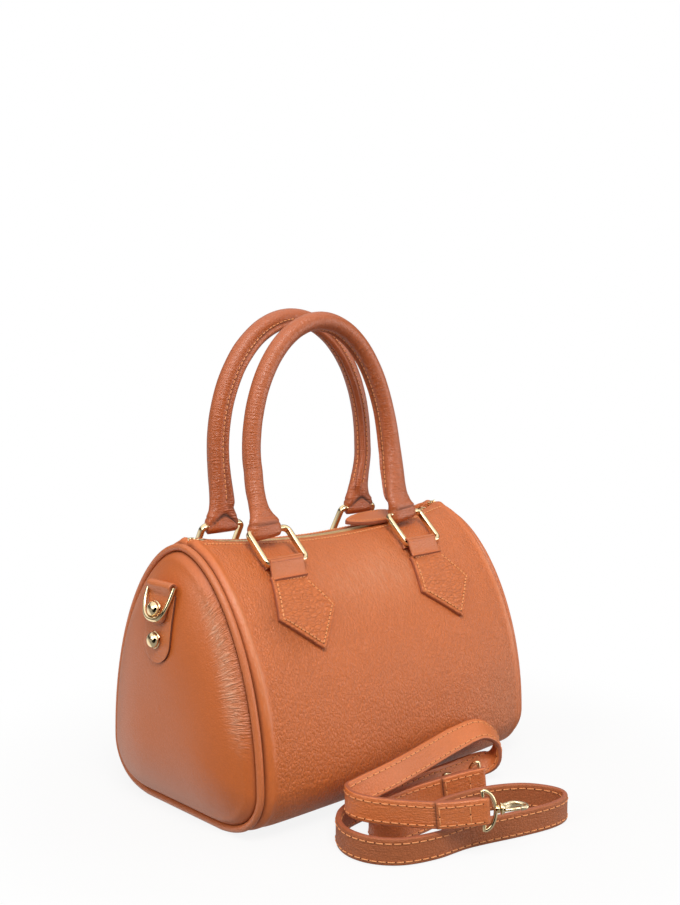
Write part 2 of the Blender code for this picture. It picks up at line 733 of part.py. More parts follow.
def handle_path(front):
    """Centre line of a handle from its left foot over the crown to its right foot."""
    crown_y = HANDLE_FRONT_TOP_Y if front else HANDLE_BACK_TOP_Y
    half_span = HANDLE_FRONT_HALF_SPAN if front else HANDLE_BACK_HALF_SPAN
    left = ring_top(front, -RING_SPACING / 2)
    straight = left.z + (HANDLE_FRONT_STRAIGHT if front else HANDLE_BACK_STRAIGHT)
    crown = left.z + (HANDLE_FRONT_RISE if front else HANDLE_BACK_RISE) - HANDLE_RADIUS
    start_z = left.z + RING_DEPTH + FIT + LEATHER
    heights = [lerp(start_z, start_z + FOOT_RISE, share) for share in (0.0, 0.35, 0.7, 1.0)]
    heights += [lerp(start_z + FOOT_RISE, straight, share) for share in (0.5, 1.0)]
    leg = []
    for z in heights:
        share = min((z - start_z) / HANDLE_LEAN_BLEND, 1.0)
        y = crown_y + (left.y - crown_y) * (1 - share) ** 2
        spread = min((z - start_z) / (FOOT_RISE * 1.5), 1.0)
        spread = spread * spread * (3 - 2 * spread)
        leg.append(Vector((-lerp(RING_SPACING / 2, half_span, spread), y, z)))
    arch = []
    turns = HANDLE_STEPS - 2 * len(leg)
    for k in range(1, turns):
        turn = pi * k / turns
        share = min((straight - start_z) / HANDLE_LEAN_BLEND, 1.0)
        share = lerp(share, 1.0, sin(turn))
        y = crown_y + (left.y - crown_y) * (1 - share) ** 2
        arch.append(Vector((-half_span * cos(turn), y, lerp(straight, crown, sin(turn)))))
    other = [Vector((-p.x, p.y, p.z)) for p in reversed(leg)]
    return leg + arch + other


def foot_section(step, count):
    """Half width and half depth of the handle at a step of its path: flat at the feet, round above."""
    ends = ((FOOT_WIDTH / 2, FOOT_DEPTH / 2), (FOOT_WAIST / 2, FOOT_DEPTH / 2),
            (HANDLE_RADIUS * 1.1, HANDLE_RADIUS * 0.9))
    place = min(step, count - 1 - step)
    if place < len(ends):
        return ends[place]
    return HANDLE_RADIUS, HANDLE_RADIUS


def oval(half_width, half_depth, sides):
    """An oval section as (side, up) pairs."""
    return [(half_width * cos(2 * pi * (k + 1 / 2) / sides), half_depth * sin(2 * pi * (k + 1 / 2) / sides))
            for k in range(sides)]


def build_handle(tag, front):
    """A rolled leather handle with feet folded round the rings, and the cord core inside it."""
    path = handle_path(front)
    left = ring_top(front, -RING_SPACING / 2)
    right = ring_top(front, RING_SPACING / 2)
    drop = RING_DEPTH + FIT + LEATHER
    ends = [Vector((p.x, p.y, p.z - drop)) for p in (left, right)]
    full = [ends[0]] + path + [ends[1]]
    count = len(full)
    sections = []
    for i in range(count):
        place = min(i, count - 1 - i)
        if place == 0:
            sections.append((FOOT_WIDTH / 2, FOOT_DEPTH / 3))
        else:
            sections.append(foot_section(i - 1, count - 2))
    away = Vector((0, 1, 0))
    cover = sweep("handle_cover_" + tag, full, lambda i: oval(*sections[i], WIRE_SIDES), TAN_LEATHER, False, away)
    core_path = path[3:-3]
    bore = sweep("bore", core_path, lambda i: oval(HANDLE_CORE_RADIUS + FIT, HANDLE_CORE_RADIUS + FIT, WIRE_SIDES),
                 CUTTER_FINISH, False, away)
    combine(cover, bore, "DIFFERENCE")
    for end, top in ((core_path[0], left), (core_path[-1], right)):
        hole = cylinder("hole", top - Vector((FOOT_WIDTH, 0, 0)), Vector((1, 0, 0)), RING_DEPTH + FIT,
                        FOOT_WIDTH * 2, None, 12)
        combine(cover, hole, "DIFFERENCE")
        outward = Vector((0, 1 if front else -1, 0))
        slit = cylinder("slit", end + Vector((0, 0, FOOT_SLIT)), outward - Vector((0, 0, 1)), FOOT_SLIT,
                        HANDLE_RADIUS * 3, None, 8)
        combine(cover, slit, "DIFFERENCE")
    inner = [p.copy() for p in core_path]
    inner[0] = lerp(core_path[0], core_path[1], 0.5)
    inner[-1] = lerp(core_path[-1], core_path[-2], 0.5)
    sweep("handle_core_" + tag, inner, lambda i: oval(HANDLE_CORE_RADIUS, HANDLE_CORE_RADIUS, WIRE_SIDES),
          CORD_FINISH, False, away)


def tab_x(side, z, outward):
    """The x of a side tab's layer at a height, so far outside the end panel."""
    return panel_face_x(side, 0.0, z, FIT * 2 + outward)


def stud_axis(side, z):
    """The way straight out of the end panel at a height on its middle line."""
    step = TAB_LEATHER
    slope = (abs(tab_x(side, z + step, 0)) - abs(tab_x(side, z - step, 0))) / (step * 2)
    return Vector((side, 0, -slope)).normalized()


def stud_hole(side, z):
    """A cutter for the hole that a stud's post passes through."""
    axis = stud_axis(side, z)
    start = Vector((tab_x(side, z, 0), 0, z)) - axis * (LEATHER * 3)
    return cylinder("hole", start, axis, STUD_POST + FIT, LEATHER * 3 + TAB_LEATHER * 5)


def dee_centre(side):
    """Centre of the straight bar of a side ring, in the tab's fold."""
    reach = TAB_LEATHER + FIT + DEE_WIRE
    return Vector((tab_x(side, TAB_TOP, reach), 0, TAB_TOP))


TAB_END_SHARES = ((0.0, 0.28), (0.25, 0.78), (0.6, 0.97), (1.0, 1.0))


def build_side_tab(name, side):
    """A strip with a round end, folded over the side ring's bar; a stud holds both of its layers."""
    half = TAB_WIDTH / 2
    narrow = FLAP_WIDTH / 2
    rows = []
    for share, width_share in TAB_END_SHARES:
        rows.append((TAB_BOTTOM + half * share, half * width_share))
    turn_z = TAB_TOP - DEE_WIRE - TAB_LEATHER * 1.5
    rows += [(lerp(TAB_BOTTOM + half, turn_z, 0.6), half), (turn_z, narrow)]
    columns = (-1.0, 0.0, 1.0)
    centre = dee_centre(side)
    outer = []
    inner = []
    for z, width in rows:
        outer.append([Vector((tab_x(side, z, 0), c * width, z)) for c in columns])
        inner.append([Vector((tab_x(side, z, TAB_LEATHER), c * width, z)) for c in columns])
    for turn in (180.0, 140.0, 105.0, 70.0, 35.0, 0.0):
        a = radians(turn)
        for rows_made, radius in ((outer, DEE_WIRE + FIT + TAB_LEATHER), (inner, DEE_WIRE + FIT)):
            place = centre + Vector((side * radius * cos(a), 0, radius * sin(a)))
            rows_made.append([place + Vector((0, c * narrow, 0)) for c in columns])
    for z in (turn_z, lerp(turn_z, FLAP_BOTTOM, 0.5), FLAP_BOTTOM):
        gap = TAB_LEATHER + FIT * 2
        outer.append([Vector((tab_x(side, z, gap + TAB_LEATHER), c * narrow, z)) for c in columns])
        inner.append([Vector((tab_x(side, z, gap), c * narrow, z)) for c in columns])
    tab = slab(name, outer, inner, TAN_LEATHER)
    for z in (STUD_UPPER_Z, STUD_LOWER_Z):
        combine(tab, stud_hole(side, z), "DIFFERENCE")
    return tab


def dee_path(width, drop, steps=8):
    """A straight bar and a half-round bow, as (across, along) pairs."""
    path = [(-width / 2 * share, 0.0) for share in (0.6, 0.0, -0.6)]
    for k in range(steps + 1):
        turn = pi * k / steps
        path.append((width / 2 * cos(turn), drop * sin(turn)))
    return path


def dee_lean(side):
    """How far a side ring leans out from hanging straight, so that it rests on the flap."""
    lean = 0.0
    for attempt in range(8):
        low = TAB_TOP - DEE_DROP * cos(lean)
        rest = abs(tab_x(side, low, TAB_LEATHER * 2 + FIT * 4 + DEE_STAND + DEE_WIRE))
        lean = asin((rest - abs(dee_centre(side).x)) / DEE_DROP)
    return lean


def build_dee(name, side):
    """The ring of a side tab, hanging from its straight bar."""
    lean = dee_lean(side)
    down = Vector((side * sin(lean), 0, -cos(lean)))
    pairs = dee_path(DEE_WIDTH, DEE_DROP)
    return wire_loop(name, dee_centre(side), Vector((0, 1, 0)), down, pairs, DEE_WIRE, GOLD)


def turned(name, base, along, profile, finish, sides=12):
    """A turned piece: profile lists (reach, radius) pairs from one end on the axis to the other."""
    along = along.normalized()
    side = along.orthogonal().normalized()
    other = along.cross(side)
    points = [base + along * profile[0][0]]
    for reach, radius in profile[1:-1]:
        for k in range(sides):
            turn = 2 * pi * k / sides
            points.append(base + along * reach + side * (radius * cos(turn)) + other * (radius * sin(turn)))
    points.append(base + along * profile[-1][0])
    rings = len(profile) - 2
    faces = grid_faces(rings, sides, 1, False, True)
    last = 1 + (rings - 1) * sides
    for k in range(sides):
        faces.append((0, 1 + k, 1 + (k + 1) % sides))
        faces.append((len(points) - 1, last + k, last + (k + 1) % sides))
    return make_object(name, points, faces, finish)


def build_stud(tag, side, z):
    """A ball-headed stud through both layers of the tab and the end panel, and its inner cap."""
    out = stud_axis(side, z)
    layers = 2 if z > FLAP_BOTTOM else 1
    seat = TAB_LEATHER * layers + FIT * (layers * 2)
    base = Vector((tab_x(side, z, 0), 0, z)) + out * seat
    inside = LEATHER + FIT * 4
    post = seat + inside + STUD_CAP_HEIGHT / 2
    profile = [(-post, 0.0), (-post, STUD_POST), (0.0, STUD_POST), (0.0, STUD_BASE_RADIUS),
               (STUD_BASE_HEIGHT, STUD_BASE_RADIUS)]
    centre = STUD_BASE_HEIGHT + STUD_HEAD * 0.75
    for degrees in (-50.0, -20.0, 12.0, 45.0, 72.0):
        a = radians(degrees)
        profile.append((centre + STUD_HEAD * sin(a), STUD_HEAD * cos(a)))
    profile.append((centre + STUD_HEAD, 0.0))
    turned("stud_" + tag, base, out, profile, GOLD)
    cap_base = base - out * (seat + inside)
    cap = cylinder("stud_cap_" + tag, cap_base, -out, STUD_CAP_RADIUS, STUD_CAP_HEIGHT, GOLD, 12)
    combine(cap, cylinder("bore", cap_base + out * OVERRUN, -out, STUD_POST + FIT, OVERRUN * 3), "DIFFERENCE")


# The strap's way, as shares of the pile's length from its middle, with the width's direction
# Each row is x, y and z of the centre line, then the direction of the strap's upper edge
AWAY = (0.69, 0.72, 0.0)
STRAP_ROUTE_SHARES = (
    (-0.223, -0.536, 0.315, (0.0, 0.0, 1.0)),
    (-0.330, -0.455, 0.305, (0.0, 0.0, 1.0)),
    (-0.450, -0.325, 0.285, (0.0, 0.0, 1.0)),
    (-0.560, -0.140, 0.272, (0.0, 0.0, 1.0)),
    (-0.655, 0.030, 0.270, (0.0, 0.0, 1.0)),
    (-0.700, 0.165, 0.275, (0.0, 0.05, 1.0)),
    (-0.660, 0.262, 0.285, (0.10, 0.12, 1.0)),
    (-0.540, 0.262, 0.300, (0.30, 0.32, 1.0)),
    (-0.240, 0.262, 0.325, (0.45, 0.48, 0.9)),
    (0.150, 0.310, 0.345, (0.50, 0.55, 0.8)),
    (0.480, 0.335, 0.375, (0.52, 0.58, 0.65)),
    (0.730, 0.320, 0.385, (0.58, 0.66, 0.45)),
    (0.875, 0.290, 0.285, (0.66, 0.72, 0.20)),
    (0.860, 0.300, 0.150, (0.62, 0.72, 0.40)),
    (0.720, 0.380, 0.100, (0.25, 0.35, 1.0)),
    (0.500, 0.423, 0.087, (0.0, 0.0, 1.0)),
    (0.150, 0.428, 0.087, (0.0, 0.0, 1.0)),
    (-0.250, 0.420, 0.087, (0.0, 0.0, 1.0)),
    (-0.530, 0.395, 0.087, (0.0, 0.0, 1.0)),
    (-0.705, 0.300, 0.087, (0.0, 0.0, 1.0)),
    (-0.805, 0.130, 0.087, (0.0, 0.0, 1.0)),
    (-0.790, -0.060, 0.087, (0.0, 0.0, 1.0)),
    (-0.670, -0.215, 0.087, (0.0, 0.0, 1.0)),
    (-0.450, -0.305, 0.087, (0.0, 0.0, 1.0)),
    (-0.175, -0.345, 0.087, (0.0, 0.0, 1.0)),
    (0.185, -0.460, 0.087, (0.0, 0.0, 1.0)),
    (0.430, -0.520, 0.087, (0.0, 0.0, 1.0)),
    (0.590, -0.510, 0.087, (0.0, 0.0, 1.0)),
    (0.668, -0.430, 0.087, (0.0, 0.0, 1.0)),
    (0.645, -0.300, 0.087, (0.0, 0.0, 1.0)),
    (0.540, -0.160, 0.087, (0.0, 0.0, 1.0)),
    (0.310, -0.040, 0.087, (0.0, 0.0, 1.0)),
    (0.020, 0.020, 0.087, (0.0, 0.0, 1.0)),
    (-0.230, 0.010, 0.087, (0.0, 0.0, 1.0)),
    (-0.430, 0.030, 0.087, (0.0, 0.0, 1.0)),
    (-0.530, 0.130, 0.087, (0.0, 0.0, 1.0)),
    (-0.470, 0.235, 0.087, (0.0, 0.0, 1.0)),
    (-0.300, 0.290, 0.087, (0.0, 0.0, 1.0)),
    (-0.060, 0.295, 0.090, (0.0, 0.0, 1.0)),
    (0.150, 0.245, 0.105, (0.0, 0.0, 1.0)),
    (0.330, 0.170, 0.130, (0.0, 0.0, 1.0)),
    (0.500, 0.085, 0.150, (0.0, 0.0, 1.0)),
)


def curve_value(a, b, c, d, share):
    """Catmull-Rom value between b and c."""
    square = share * share
    cube = square * share
    return (b * 2 + (c - a) * share + (a * 2 - b * 5 + c * 4 - d) * square
            + (b * 3 - a - c * 3 + d) * cube) / 2


def strap_line():
    """Evenly spaced points of the strap's centre line, and the direction of its upper edge at each."""
    places = [Vector((PILE_X + PILE_LENGTH * x, PILE_Y + PILE_LENGTH * y, PILE_LENGTH * z))
              for x, y, z, edge in STRAP_ROUTE_SHARES]
    edges = [Vector(edge) for x, y, z, edge in STRAP_ROUTE_SHARES]
    fine = []
    count = len(places)
    for i in range(count - 1):
        before = max(i - 1, 0)
        after = min(i + 2, count - 1)
        for k in range(12):
            share = k / 12
            fine.append((curve_value(places[before], places[i], places[i + 1], places[after], share),
                         lerp(edges[i], edges[i + 1], share)))
    fine.append((places[-1], edges[-1]))
    reach = [0.0]
    for i in range(1, len(fine)):
        reach.append(reach[-1] + (fine[i][0] - fine[i - 1][0]).length)
    line = []
    at = 0
    for k in range(STRAP_STEPS + 1):
        wanted = reach[-1] * k / STRAP_STEPS
        while at < len(reach) - 2 and reach[at + 1] < wanted:
            at += 1
        share = (wanted - reach[at]) / (reach[at + 1] - reach[at])
        line.append((lerp(fine[at][0], fine[at + 1][0], share), lerp(fine[at][1], fine[at + 1][1], share)))
    return [p for p, e in line], [e for p, e in line], reach[-1]


def strap_end(first):
    """Place, outward direction and upper-edge direction of one end of the strap."""
    line, edges, length = strap_line()
    place, other = (line[0], line[1]) if first else (line[-1], line[-2])
    edge = edges[0] if first else edges[-1]
    out = (place - other).normalized()
    edge = (edge - out * edge.dot(out)).normalized()
    return place, out, edge


def build_strap():
    """The shoulder strap: two layers of leather, doubled again where its ends are folded over."""
    line, edges, length = strap_line()
    step = length / STRAP_STEPS

    def thickness(i):
        """Half the strap's thickness at a step."""
        reach = min(i, STRAP_STEPS - i) * step
        return (STRAP_END_THICKNESS if reach < STRAP_END_LENGTH else STRAP_THICKNESS) / 2

    def section(i):
        """The flat section: its width stands along the edge direction."""
        half = thickness(i)
        return [(half, STRAP_WIDTH / 2), (-half, STRAP_WIDTH / 2), (-half, -STRAP_WIDTH / 2),
                (half, -STRAP_WIDTH / 2)]

    strap = sweep("shoulder_strap", line, section, TAN_LEATHER, False, None, edges)
    for first in (True, False):
        place, out, edge = strap_end(first)
        middle = place - out * EYE_INSET
        hole = cylinder("hole", middle - edge * STRAP_WIDTH, edge, EYE_WIRE + FIT, STRAP_WIDTH * 2, None, 12)
        combine(strap, hole, "DIFFERENCE")
    return strap


CLAW_PLACE_SHARES = ((0.0, 0.1), (0.14, 0.25), (0.3, 0.7), (0.52, 1.0), (0.74, 0.92), (0.92, 0.55),
                     (1.0, 0.0), (0.96, -0.45), (0.84, -0.68), (0.72, -0.72))


def build_hook(tag, first, fold):
    """A snap hook: the eye in the strap's fold, the hook that swivels on it, and its sprung gate."""
    place, out, edge = strap_end(first)
    bar = place - out * EYE_INSET
    turn = Matrix.Rotation(fold, 3, edge)
    ahead = turn @ out
    sideways = edge.cross(ahead)
    pairs = dee_path(EYE_HEIGHT, EYE_REACH)
    eye = wire_loop("strap_eye_" + tag, bar, edge, ahead, pairs, EYE_WIRE, GOLD)
    boss_start = bar + ahead * (EYE_REACH - EYE_WIRE / 2)
    combine(eye, cylinder("boss", boss_start, ahead, BOSS_RADIUS, BOSS_LENGTH, GOLD, 12), "UNION")
    start = boss_start + ahead * (BOSS_LENGTH + FIT)
    claw_path = [start + ahead * (COLLAR_LENGTH / 2 + CLAW_LENGTH * a) + sideways * (CLAW_HALF_WIDTH * b)
                 for a, b in CLAW_PLACE_SHARES]
    last = len(claw_path) - 1

    def claw_section(i):
        """The claw's section: tall at the root, round at the tip."""
        tall = lerp(CLAW_ROOT_HEIGHT, CLAW_WIRE, min(i / (last / 2), 1.0))
        return oval(CLAW_WIRE, tall, WIRE_SIDES)

    hook = sweep("hook_body_" + tag, claw_path, claw_section, GOLD, False, edge)
    combine(hook, cylinder("collar", start, ahead, COLLAR_RADIUS, COLLAR_LENGTH, GOLD, 12), "UNION")
    gate_start = start + ahead * (COLLAR_LENGTH + FIT) + sideways * (CLAW_HALF_WIDTH * CLAW_PLACE_SHARES[-1][1])
    gate_end = claw_path[-1] - ahead * (CLAW_WIRE * 0.2 + FIT)
    gate_path = [gate_start, lerp(gate_start, gate_end, 0.5), gate_end]
    sweep("hook_gate_" + tag, gate_path, lambda i: ring_section(GATE_WIRE, PIPE_SIDES), GOLD, False, edge)
    return {"bar": bar, "edge": edge, "ahead": ahead, "gate": gate_start}


for leftover in list(bpy.data.objects):
    bpy.data.objects.remove(leftover)

TAN_LEATHER = material("tan leather", (0.58, 0.17, 0.06), 0.5)
EDGE_LEATHER = material("piping leather", (0.52, 0.15, 0.05), 0.45)
LINING_FINISH = material("lining cloth", (0.33, 0.22, 0.14), 0.9)
BOARD_FINISH = material("base board", (0.25, 0.2, 0.15), 0.9)
TAPE_FINISH = material("zip tape", (0.40, 0.13, 0.05), 0.85)
CORD_FINISH = material("cord core", (0.7, 0.65, 0.55), 0.95)
GOLD = material("pale gold", (0.78, 0.62, 0.38), 0.22, 1.0)
CUTTER_FINISH = material("cutter", (0.5, 0.5, 0.5), 0.5)

build_wrap()
for tag, side in (("left", -1), ("right", 1)):
    build_piping("piping_" + tag, side)
    build_end_panel("end_panel_" + tag, side)
    build_side_tab("side_tab_" + tag, side)
    build_dee("dee_ring_" + tag, side)
    build_stud("upper_" + tag, side, STUD_UPPER_Z)
    build_stud("lower_" + tag, side, STUD_LOWER_Z)
    build_zip_stop("zip_stop_" + tag, side)
build_base_board()
build_lining()
for tag, side in (("front", -1), ("back", 1)):
    build_zip_tape("zip_tape_" + tag, side)
    build_zip_teeth("zip_teeth_" + tag, side)
build_zip_slider()
build_zip_link()
build_zip_leaf()
for tag, front in (("front", True), ("back", False)):
    for end, x in (("left", -RING_SPACING / 2), ("right", RING_SPACING / 2)):
        build_ring("ring_" + tag + "_" + end, front, x)
        build_chape("chape_" + tag + "_" + end, front, x)
    build_handle(tag, front)
build_strap()
for tag, first, fold in (("near", True, HOOK_FOLDS[0]), ("far", False, HOOK_FOLDS[1])):
    build_hook(tag, first, fold)
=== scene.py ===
"""A small barrel-shaped leather handbag with two rolled handles, side rings and a loose shoulder strap.

Metres, +Z up. The origin is the middle of the base, X runs along the bag and the front faces -Y.
"""

import bpy
import bmesh
from math import asin, atan2, cos, exp, log, pi, radians, sin, sqrt
from mathutils import Matrix, Vector, noise


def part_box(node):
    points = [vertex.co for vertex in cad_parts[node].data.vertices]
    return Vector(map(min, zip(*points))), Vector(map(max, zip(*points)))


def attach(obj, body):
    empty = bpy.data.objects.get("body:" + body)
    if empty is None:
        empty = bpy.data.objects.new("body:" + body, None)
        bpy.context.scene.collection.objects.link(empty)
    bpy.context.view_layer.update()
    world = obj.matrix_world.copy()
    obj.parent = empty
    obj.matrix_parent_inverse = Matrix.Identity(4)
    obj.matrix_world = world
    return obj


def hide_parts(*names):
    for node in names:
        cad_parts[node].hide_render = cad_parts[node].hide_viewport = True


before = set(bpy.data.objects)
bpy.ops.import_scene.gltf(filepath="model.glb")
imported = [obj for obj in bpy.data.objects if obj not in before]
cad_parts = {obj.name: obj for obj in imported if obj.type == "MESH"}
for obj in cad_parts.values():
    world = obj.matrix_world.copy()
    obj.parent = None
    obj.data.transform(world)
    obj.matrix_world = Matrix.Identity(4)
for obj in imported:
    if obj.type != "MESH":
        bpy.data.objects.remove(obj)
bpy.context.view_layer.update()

# Camera
# The photograph looks at the bag's left front corner from a little above,
# with a long lens held level, so the frame needs no shift.
CAMERA_AIM = Vector((0.0166, 0.0, 0.2345))
CAMERA_TURN = radians(-43.82)
CAMERA_RISE = radians(5.46)
CAMERA_DISTANCE = 0.8656
camera_lens = bpy.data.cameras.new("camera")
camera_lens.lens = 46.34
camera = bpy.data.objects.new("camera", camera_lens)
bpy.context.scene.collection.objects.link(camera)
camera_away = Vector((sin(CAMERA_TURN) * cos(CAMERA_RISE), -cos(CAMERA_TURN) * cos(CAMERA_RISE),
                      sin(CAMERA_RISE)))
camera.location = CAMERA_AIM + camera_away * CAMERA_DISTANCE
camera.rotation_mode = "QUATERNION"
camera.rotation_quaternion = (-camera_away).to_track_quat("-Z", "Y")
bpy.context.scene.camera = camera
bpy.context.scene.view_settings.view_transform = "Standard"

# Floor, surroundings and lamps
# A white studio floor that keeps a faint contact shadow, white surroundings, and three soft
# lamps: the strongest high at the front left, weaker ones at the right and at the left.
FLOOR_REACH = 6.0
FLOOR_DROP = 0.0004
FLOOR_GREY = 0.75
FLOOR_BOUNCE = 0.34
SHADOW_MIDDLE = (0.0, -0.04, 0.0)
SHADOW_INNER = 0.18
SHADOW_OUTER = 0.36
SHADOW_FADED = 0.88
WHITE = (1.0, 1.0, 1.0, 1.0)
# Brightness of the mirrored studio from below (0) to above (1), as (place, level).
STUDIO_ENDS = ((0.2, 0.45), (0.93, 1.4))
STUDIO_BANDS = ((0.4, 0.4), (0.47, 0.5), (0.53, 0.45), (0.58, 0.1), (0.7, 0.1), (0.78, 1.0))
# Bright and dark patches in it: direction, cosine at the rim, cosine where it is full, and strength.
STUDIO_PATCHES = (
    ((0.77, -0.63, -0.08), 0.86, 0.98, 1.7), ((-0.36, 0.78, -0.5), 0.80, 0.96, 0.9),
    ((-0.84, -0.22, 0.48), 0.91, 0.985, 2.1), ((0.24, -0.9, 0.49), 0.9, 0.975, 1.8),
    ((-0.82, -0.57, 0.06), 0.76, 0.93, -0.44),
)
ROOM_LOW = 0.07
ROOM_HIGH = 0.62
ROOM_COLOUR = (1.0, 0.98, 0.96, 1.0)
MIRROR_COLOUR = (1.0, 0.98, 0.95, 1.0)
LAMP_AIM = Vector((0.0, 0.0, 0.1))
# Name, place, size, power and colour.
LAMPS = (
    ("key lamp", (-0.75, -1.15, 1.8), 0.9, 30.0, (1.0, 0.97, 0.93)),
    ("side lamp", (1.45, -1.3, 0.42), 0.8, 6.0, (1.0, 0.96, 0.95)),
    ("left lamp", (-1.7, 0.1, 1.1), 0.8, 7.0, (1.0, 0.96, 0.95)),
)


def node(tree, kind, links=None, **settings):
    """Adds a shader node: settings are its options, links are values or outputs for its sockets."""
    made = tree.nodes.new("ShaderNode" + kind)
    for key, value in settings.items():
        setattr(made, key, value)
    for socket, value in (links or {}).items():
        if isinstance(value, bpy.types.NodeSocket):
            tree.links.new(value, made.inputs[socket])
        else:
            made.inputs[socket].default_value = value
    return made


def join(tree, end, outputs):
    """Links outputs to the sockets of an end node."""
    for label, output in outputs.items():
        tree.links.new(output, end.inputs[label])


def sum_of(tree, operation, first, second=0.0, third=0.0, clamp=False):
    """The result of a Math node."""
    made = node(tree, "Math", {0: first, 1: second, 2: third}, operation=operation, use_clamp=clamp)
    return made.outputs[0]


def eased(tree, value, low, high, start=0.0, end=1.0, soft=False):
    """A value carried over from the range low to high to the range start to end."""
    kind = "SMOOTHSTEP" if soft else "LINEAR"
    return node(tree, "MapRange", {"Value": value, 1: low, 2: high, 3: start, 4: end},
                interpolation_type=kind).outputs[0]


def mixed(tree, kind, share, first, second, **settings):
    """The result of a node that mixes two colours or two shaders."""
    return node(tree, kind, {0: share, 1: first, 2: second}, **settings).outputs[0]


def blank_material(name):
    """A material with an empty node tree and its output node."""
    made = bpy.data.materials.new(name)
    made.use_nodes = True
    made.node_tree.nodes.clear()
    return made, made.node_tree, made.node_tree.nodes.new("ShaderNodeOutputMaterial")


floor_paper, tree, out = blank_material("floor paper")
paths = node(tree, "LightPath")
grey = eased(tree, paths.outputs["Is Diffuse Ray"], 0.0, 1.0, FLOOR_GREY, FLOOR_BOUNCE)
shadowed = node(tree, "BsdfDiffuse", {"Color": grey})
white = node(tree, "Emission", {"Color": WHITE, "Strength": 1.0})
place = node(tree, "TexCoord").outputs["Object"]
away = node(tree, "VectorMath", {0: place, 1: SHADOW_MIDDLE}, operation="DISTANCE").outputs["Value"]
fade = eased(tree, away, SHADOW_INNER, SHADOW_OUTER, SHADOW_FADED, 1.0, True)
seen = sum_of(tree, "MULTIPLY", paths.outputs["Is Camera Ray"], fade)
paper = mixed(tree, "MixShader", seen, shadowed.outputs[0], white.outputs[0])
unseen = node(tree, "BsdfTransparent").outputs[0]
join(tree, out, {"Surface": mixed(tree, "MixShader", paths.outputs["Is Glossy Ray"], paper, unseen)})

floor_corners = [(x * FLOOR_REACH, y * FLOOR_REACH, -FLOOR_DROP)
                 for x, y in ((-1, -1), (1, -1), (1, 1), (-1, 1))]
floor_mesh = bpy.data.meshes.new("floor")
floor_mesh.from_pydata(floor_corners, [], [(0, 1, 2, 3)])
floor_mesh.materials.append(floor_paper)
floor = bpy.data.objects.new("floor", floor_mesh)
bpy.context.scene.collection.objects.link(floor)

world = bpy.data.worlds.new("studio")
bpy.context.scene.world = world
world.use_nodes = True
tree = world.node_tree
tree.nodes.clear()
paths = node(tree, "LightPath")
direction = node(tree, "TexCoord").outputs["Generated"]
height = node(tree, "SeparateXYZ", {0: direction}).outputs["Z"]
ceiling = node(tree, "ValToRGB", {0: sum_of(tree, "MULTIPLY_ADD", height, 0.5, 0.5)})
bands = ceiling.color_ramp.elements
for element, (place, level) in zip(bands, STUDIO_ENDS):
    element.position = place
    element.color = (level, level, level, 1.0)
for place, level in STUDIO_BANDS:
    bands.new(place).color = (level, level, level, 1.0)
mirrored = ceiling.outputs[0]
for centre, outer, inner, level in STUDIO_PATCHES:
    facing = node(tree, "VectorMath", {0: direction, 1: Vector(centre).normalized()}, operation="DOT_PRODUCT")
    patch = eased(tree, facing.outputs["Value"], outer, inner, 0.0, level, True)
    mirrored = sum_of(tree, "ADD", mirrored, patch)
overhead = eased(tree, height, -0.3, 0.9, ROOM_LOW, ROOM_HIGH)
room = node(tree, "Background", {"Color": ROOM_COLOUR, "Strength": overhead}).outputs[0]
mirror_room = node(tree, "Background", {"Color": MIRROR_COLOUR, "Strength": mirrored}).outputs[0]
backdrop = node(tree, "Background", {"Color": WHITE, "Strength": 1.0}).outputs[0]
lit = mixed(tree, "MixShader", paths.outputs["Is Glossy Ray"], room, mirror_room)
clear = sum_of(tree, "MAXIMUM", paths.outputs["Is Camera Ray"], paths.outputs["Is Transmission Ray"])
join(tree, node(tree, "OutputWorld"), {"Surface": mixed(tree, "MixShader", clear, lit, backdrop)})

for name, place, size, power, colour in LAMPS:
    lamp_light = bpy.data.lights.new(name, "AREA")
    lamp_light.shape = "SQUARE"
    lamp_light.size = size
    lamp_light.energy = power
    lamp_light.color = colour
    lamp = bpy.data.objects.new(name, lamp_light)
    bpy.context.scene.collection.objects.link(lamp)
    lamp.location = place
    lamp.rotation_mode = "QUATERNION"
    lamp.rotation_quaternion = (LAMP_AIM - Vector(place)).to_track_quat("-Z", "Y")

# Body wrap
# One piece of pebbled cowhide makes the front, the base and the back. Its long edges are turned
# in and sewn along the zip, and its round ends rise out of the piping seam in a soft roll.
BAG_LENGTH = 0.257
DEPTH_LEFT = 0.159
DEPTH_RIGHT = 0.166
END_HEIGHT = 0.181
MIDDLE_HEIGHT = 0.1765
TOP_ARC = 0.75
SHOULDER_SAG = 0.0035
WIDEST_HEIGHT = 0.0335
SWELL_LEFT = 0.007
SWELL_RIGHT = 0.0105
LEATHER = 0.002
FIT = 0.0003
PIPING_RADIUS = 0.0025
TOP_WIDTH_POWER = 1.11
TOP_HEIGHT_POWER = 1.03
BASE_WIDTH_POWER = 0.42
BASE_HEIGHT_POWER = 1.127
BASE_FLAT = 0.976
SETTLED_SHARE = 0.8
ZIP_SLOT_HALF = 0.006
SLOT_CLOSED = 0.0014
TURNED_EDGE = 0.0011
HALF_LENGTH = BAG_LENGTH / 2
WRAP_HALF = HALF_LENGTH - PIPING_RADIUS - FIT
END_BOTTOM = PIPING_RADIUS + FIT
# Rise, distance from the piping and width of each roll of the wrap along its seam.
SEAM_ROLLS = ((0.0011, 0.0042, 0.0026), (-0.0005, 0.0105, 0.004), (-0.0006, 0.0, 0.0012))
BROAD_UNEVEN = 0.0011
FINE_UNEVEN = 0.0004
RIGHT_TOP_RISE = 0.0022
SLOT_LIP = 0.0013
WRAP_STATIONS = 170
WRAP_TURNS = 330


def lerp(a, b, share):
    """The value a share of the way from a to b."""
    return a + (b - a) * share


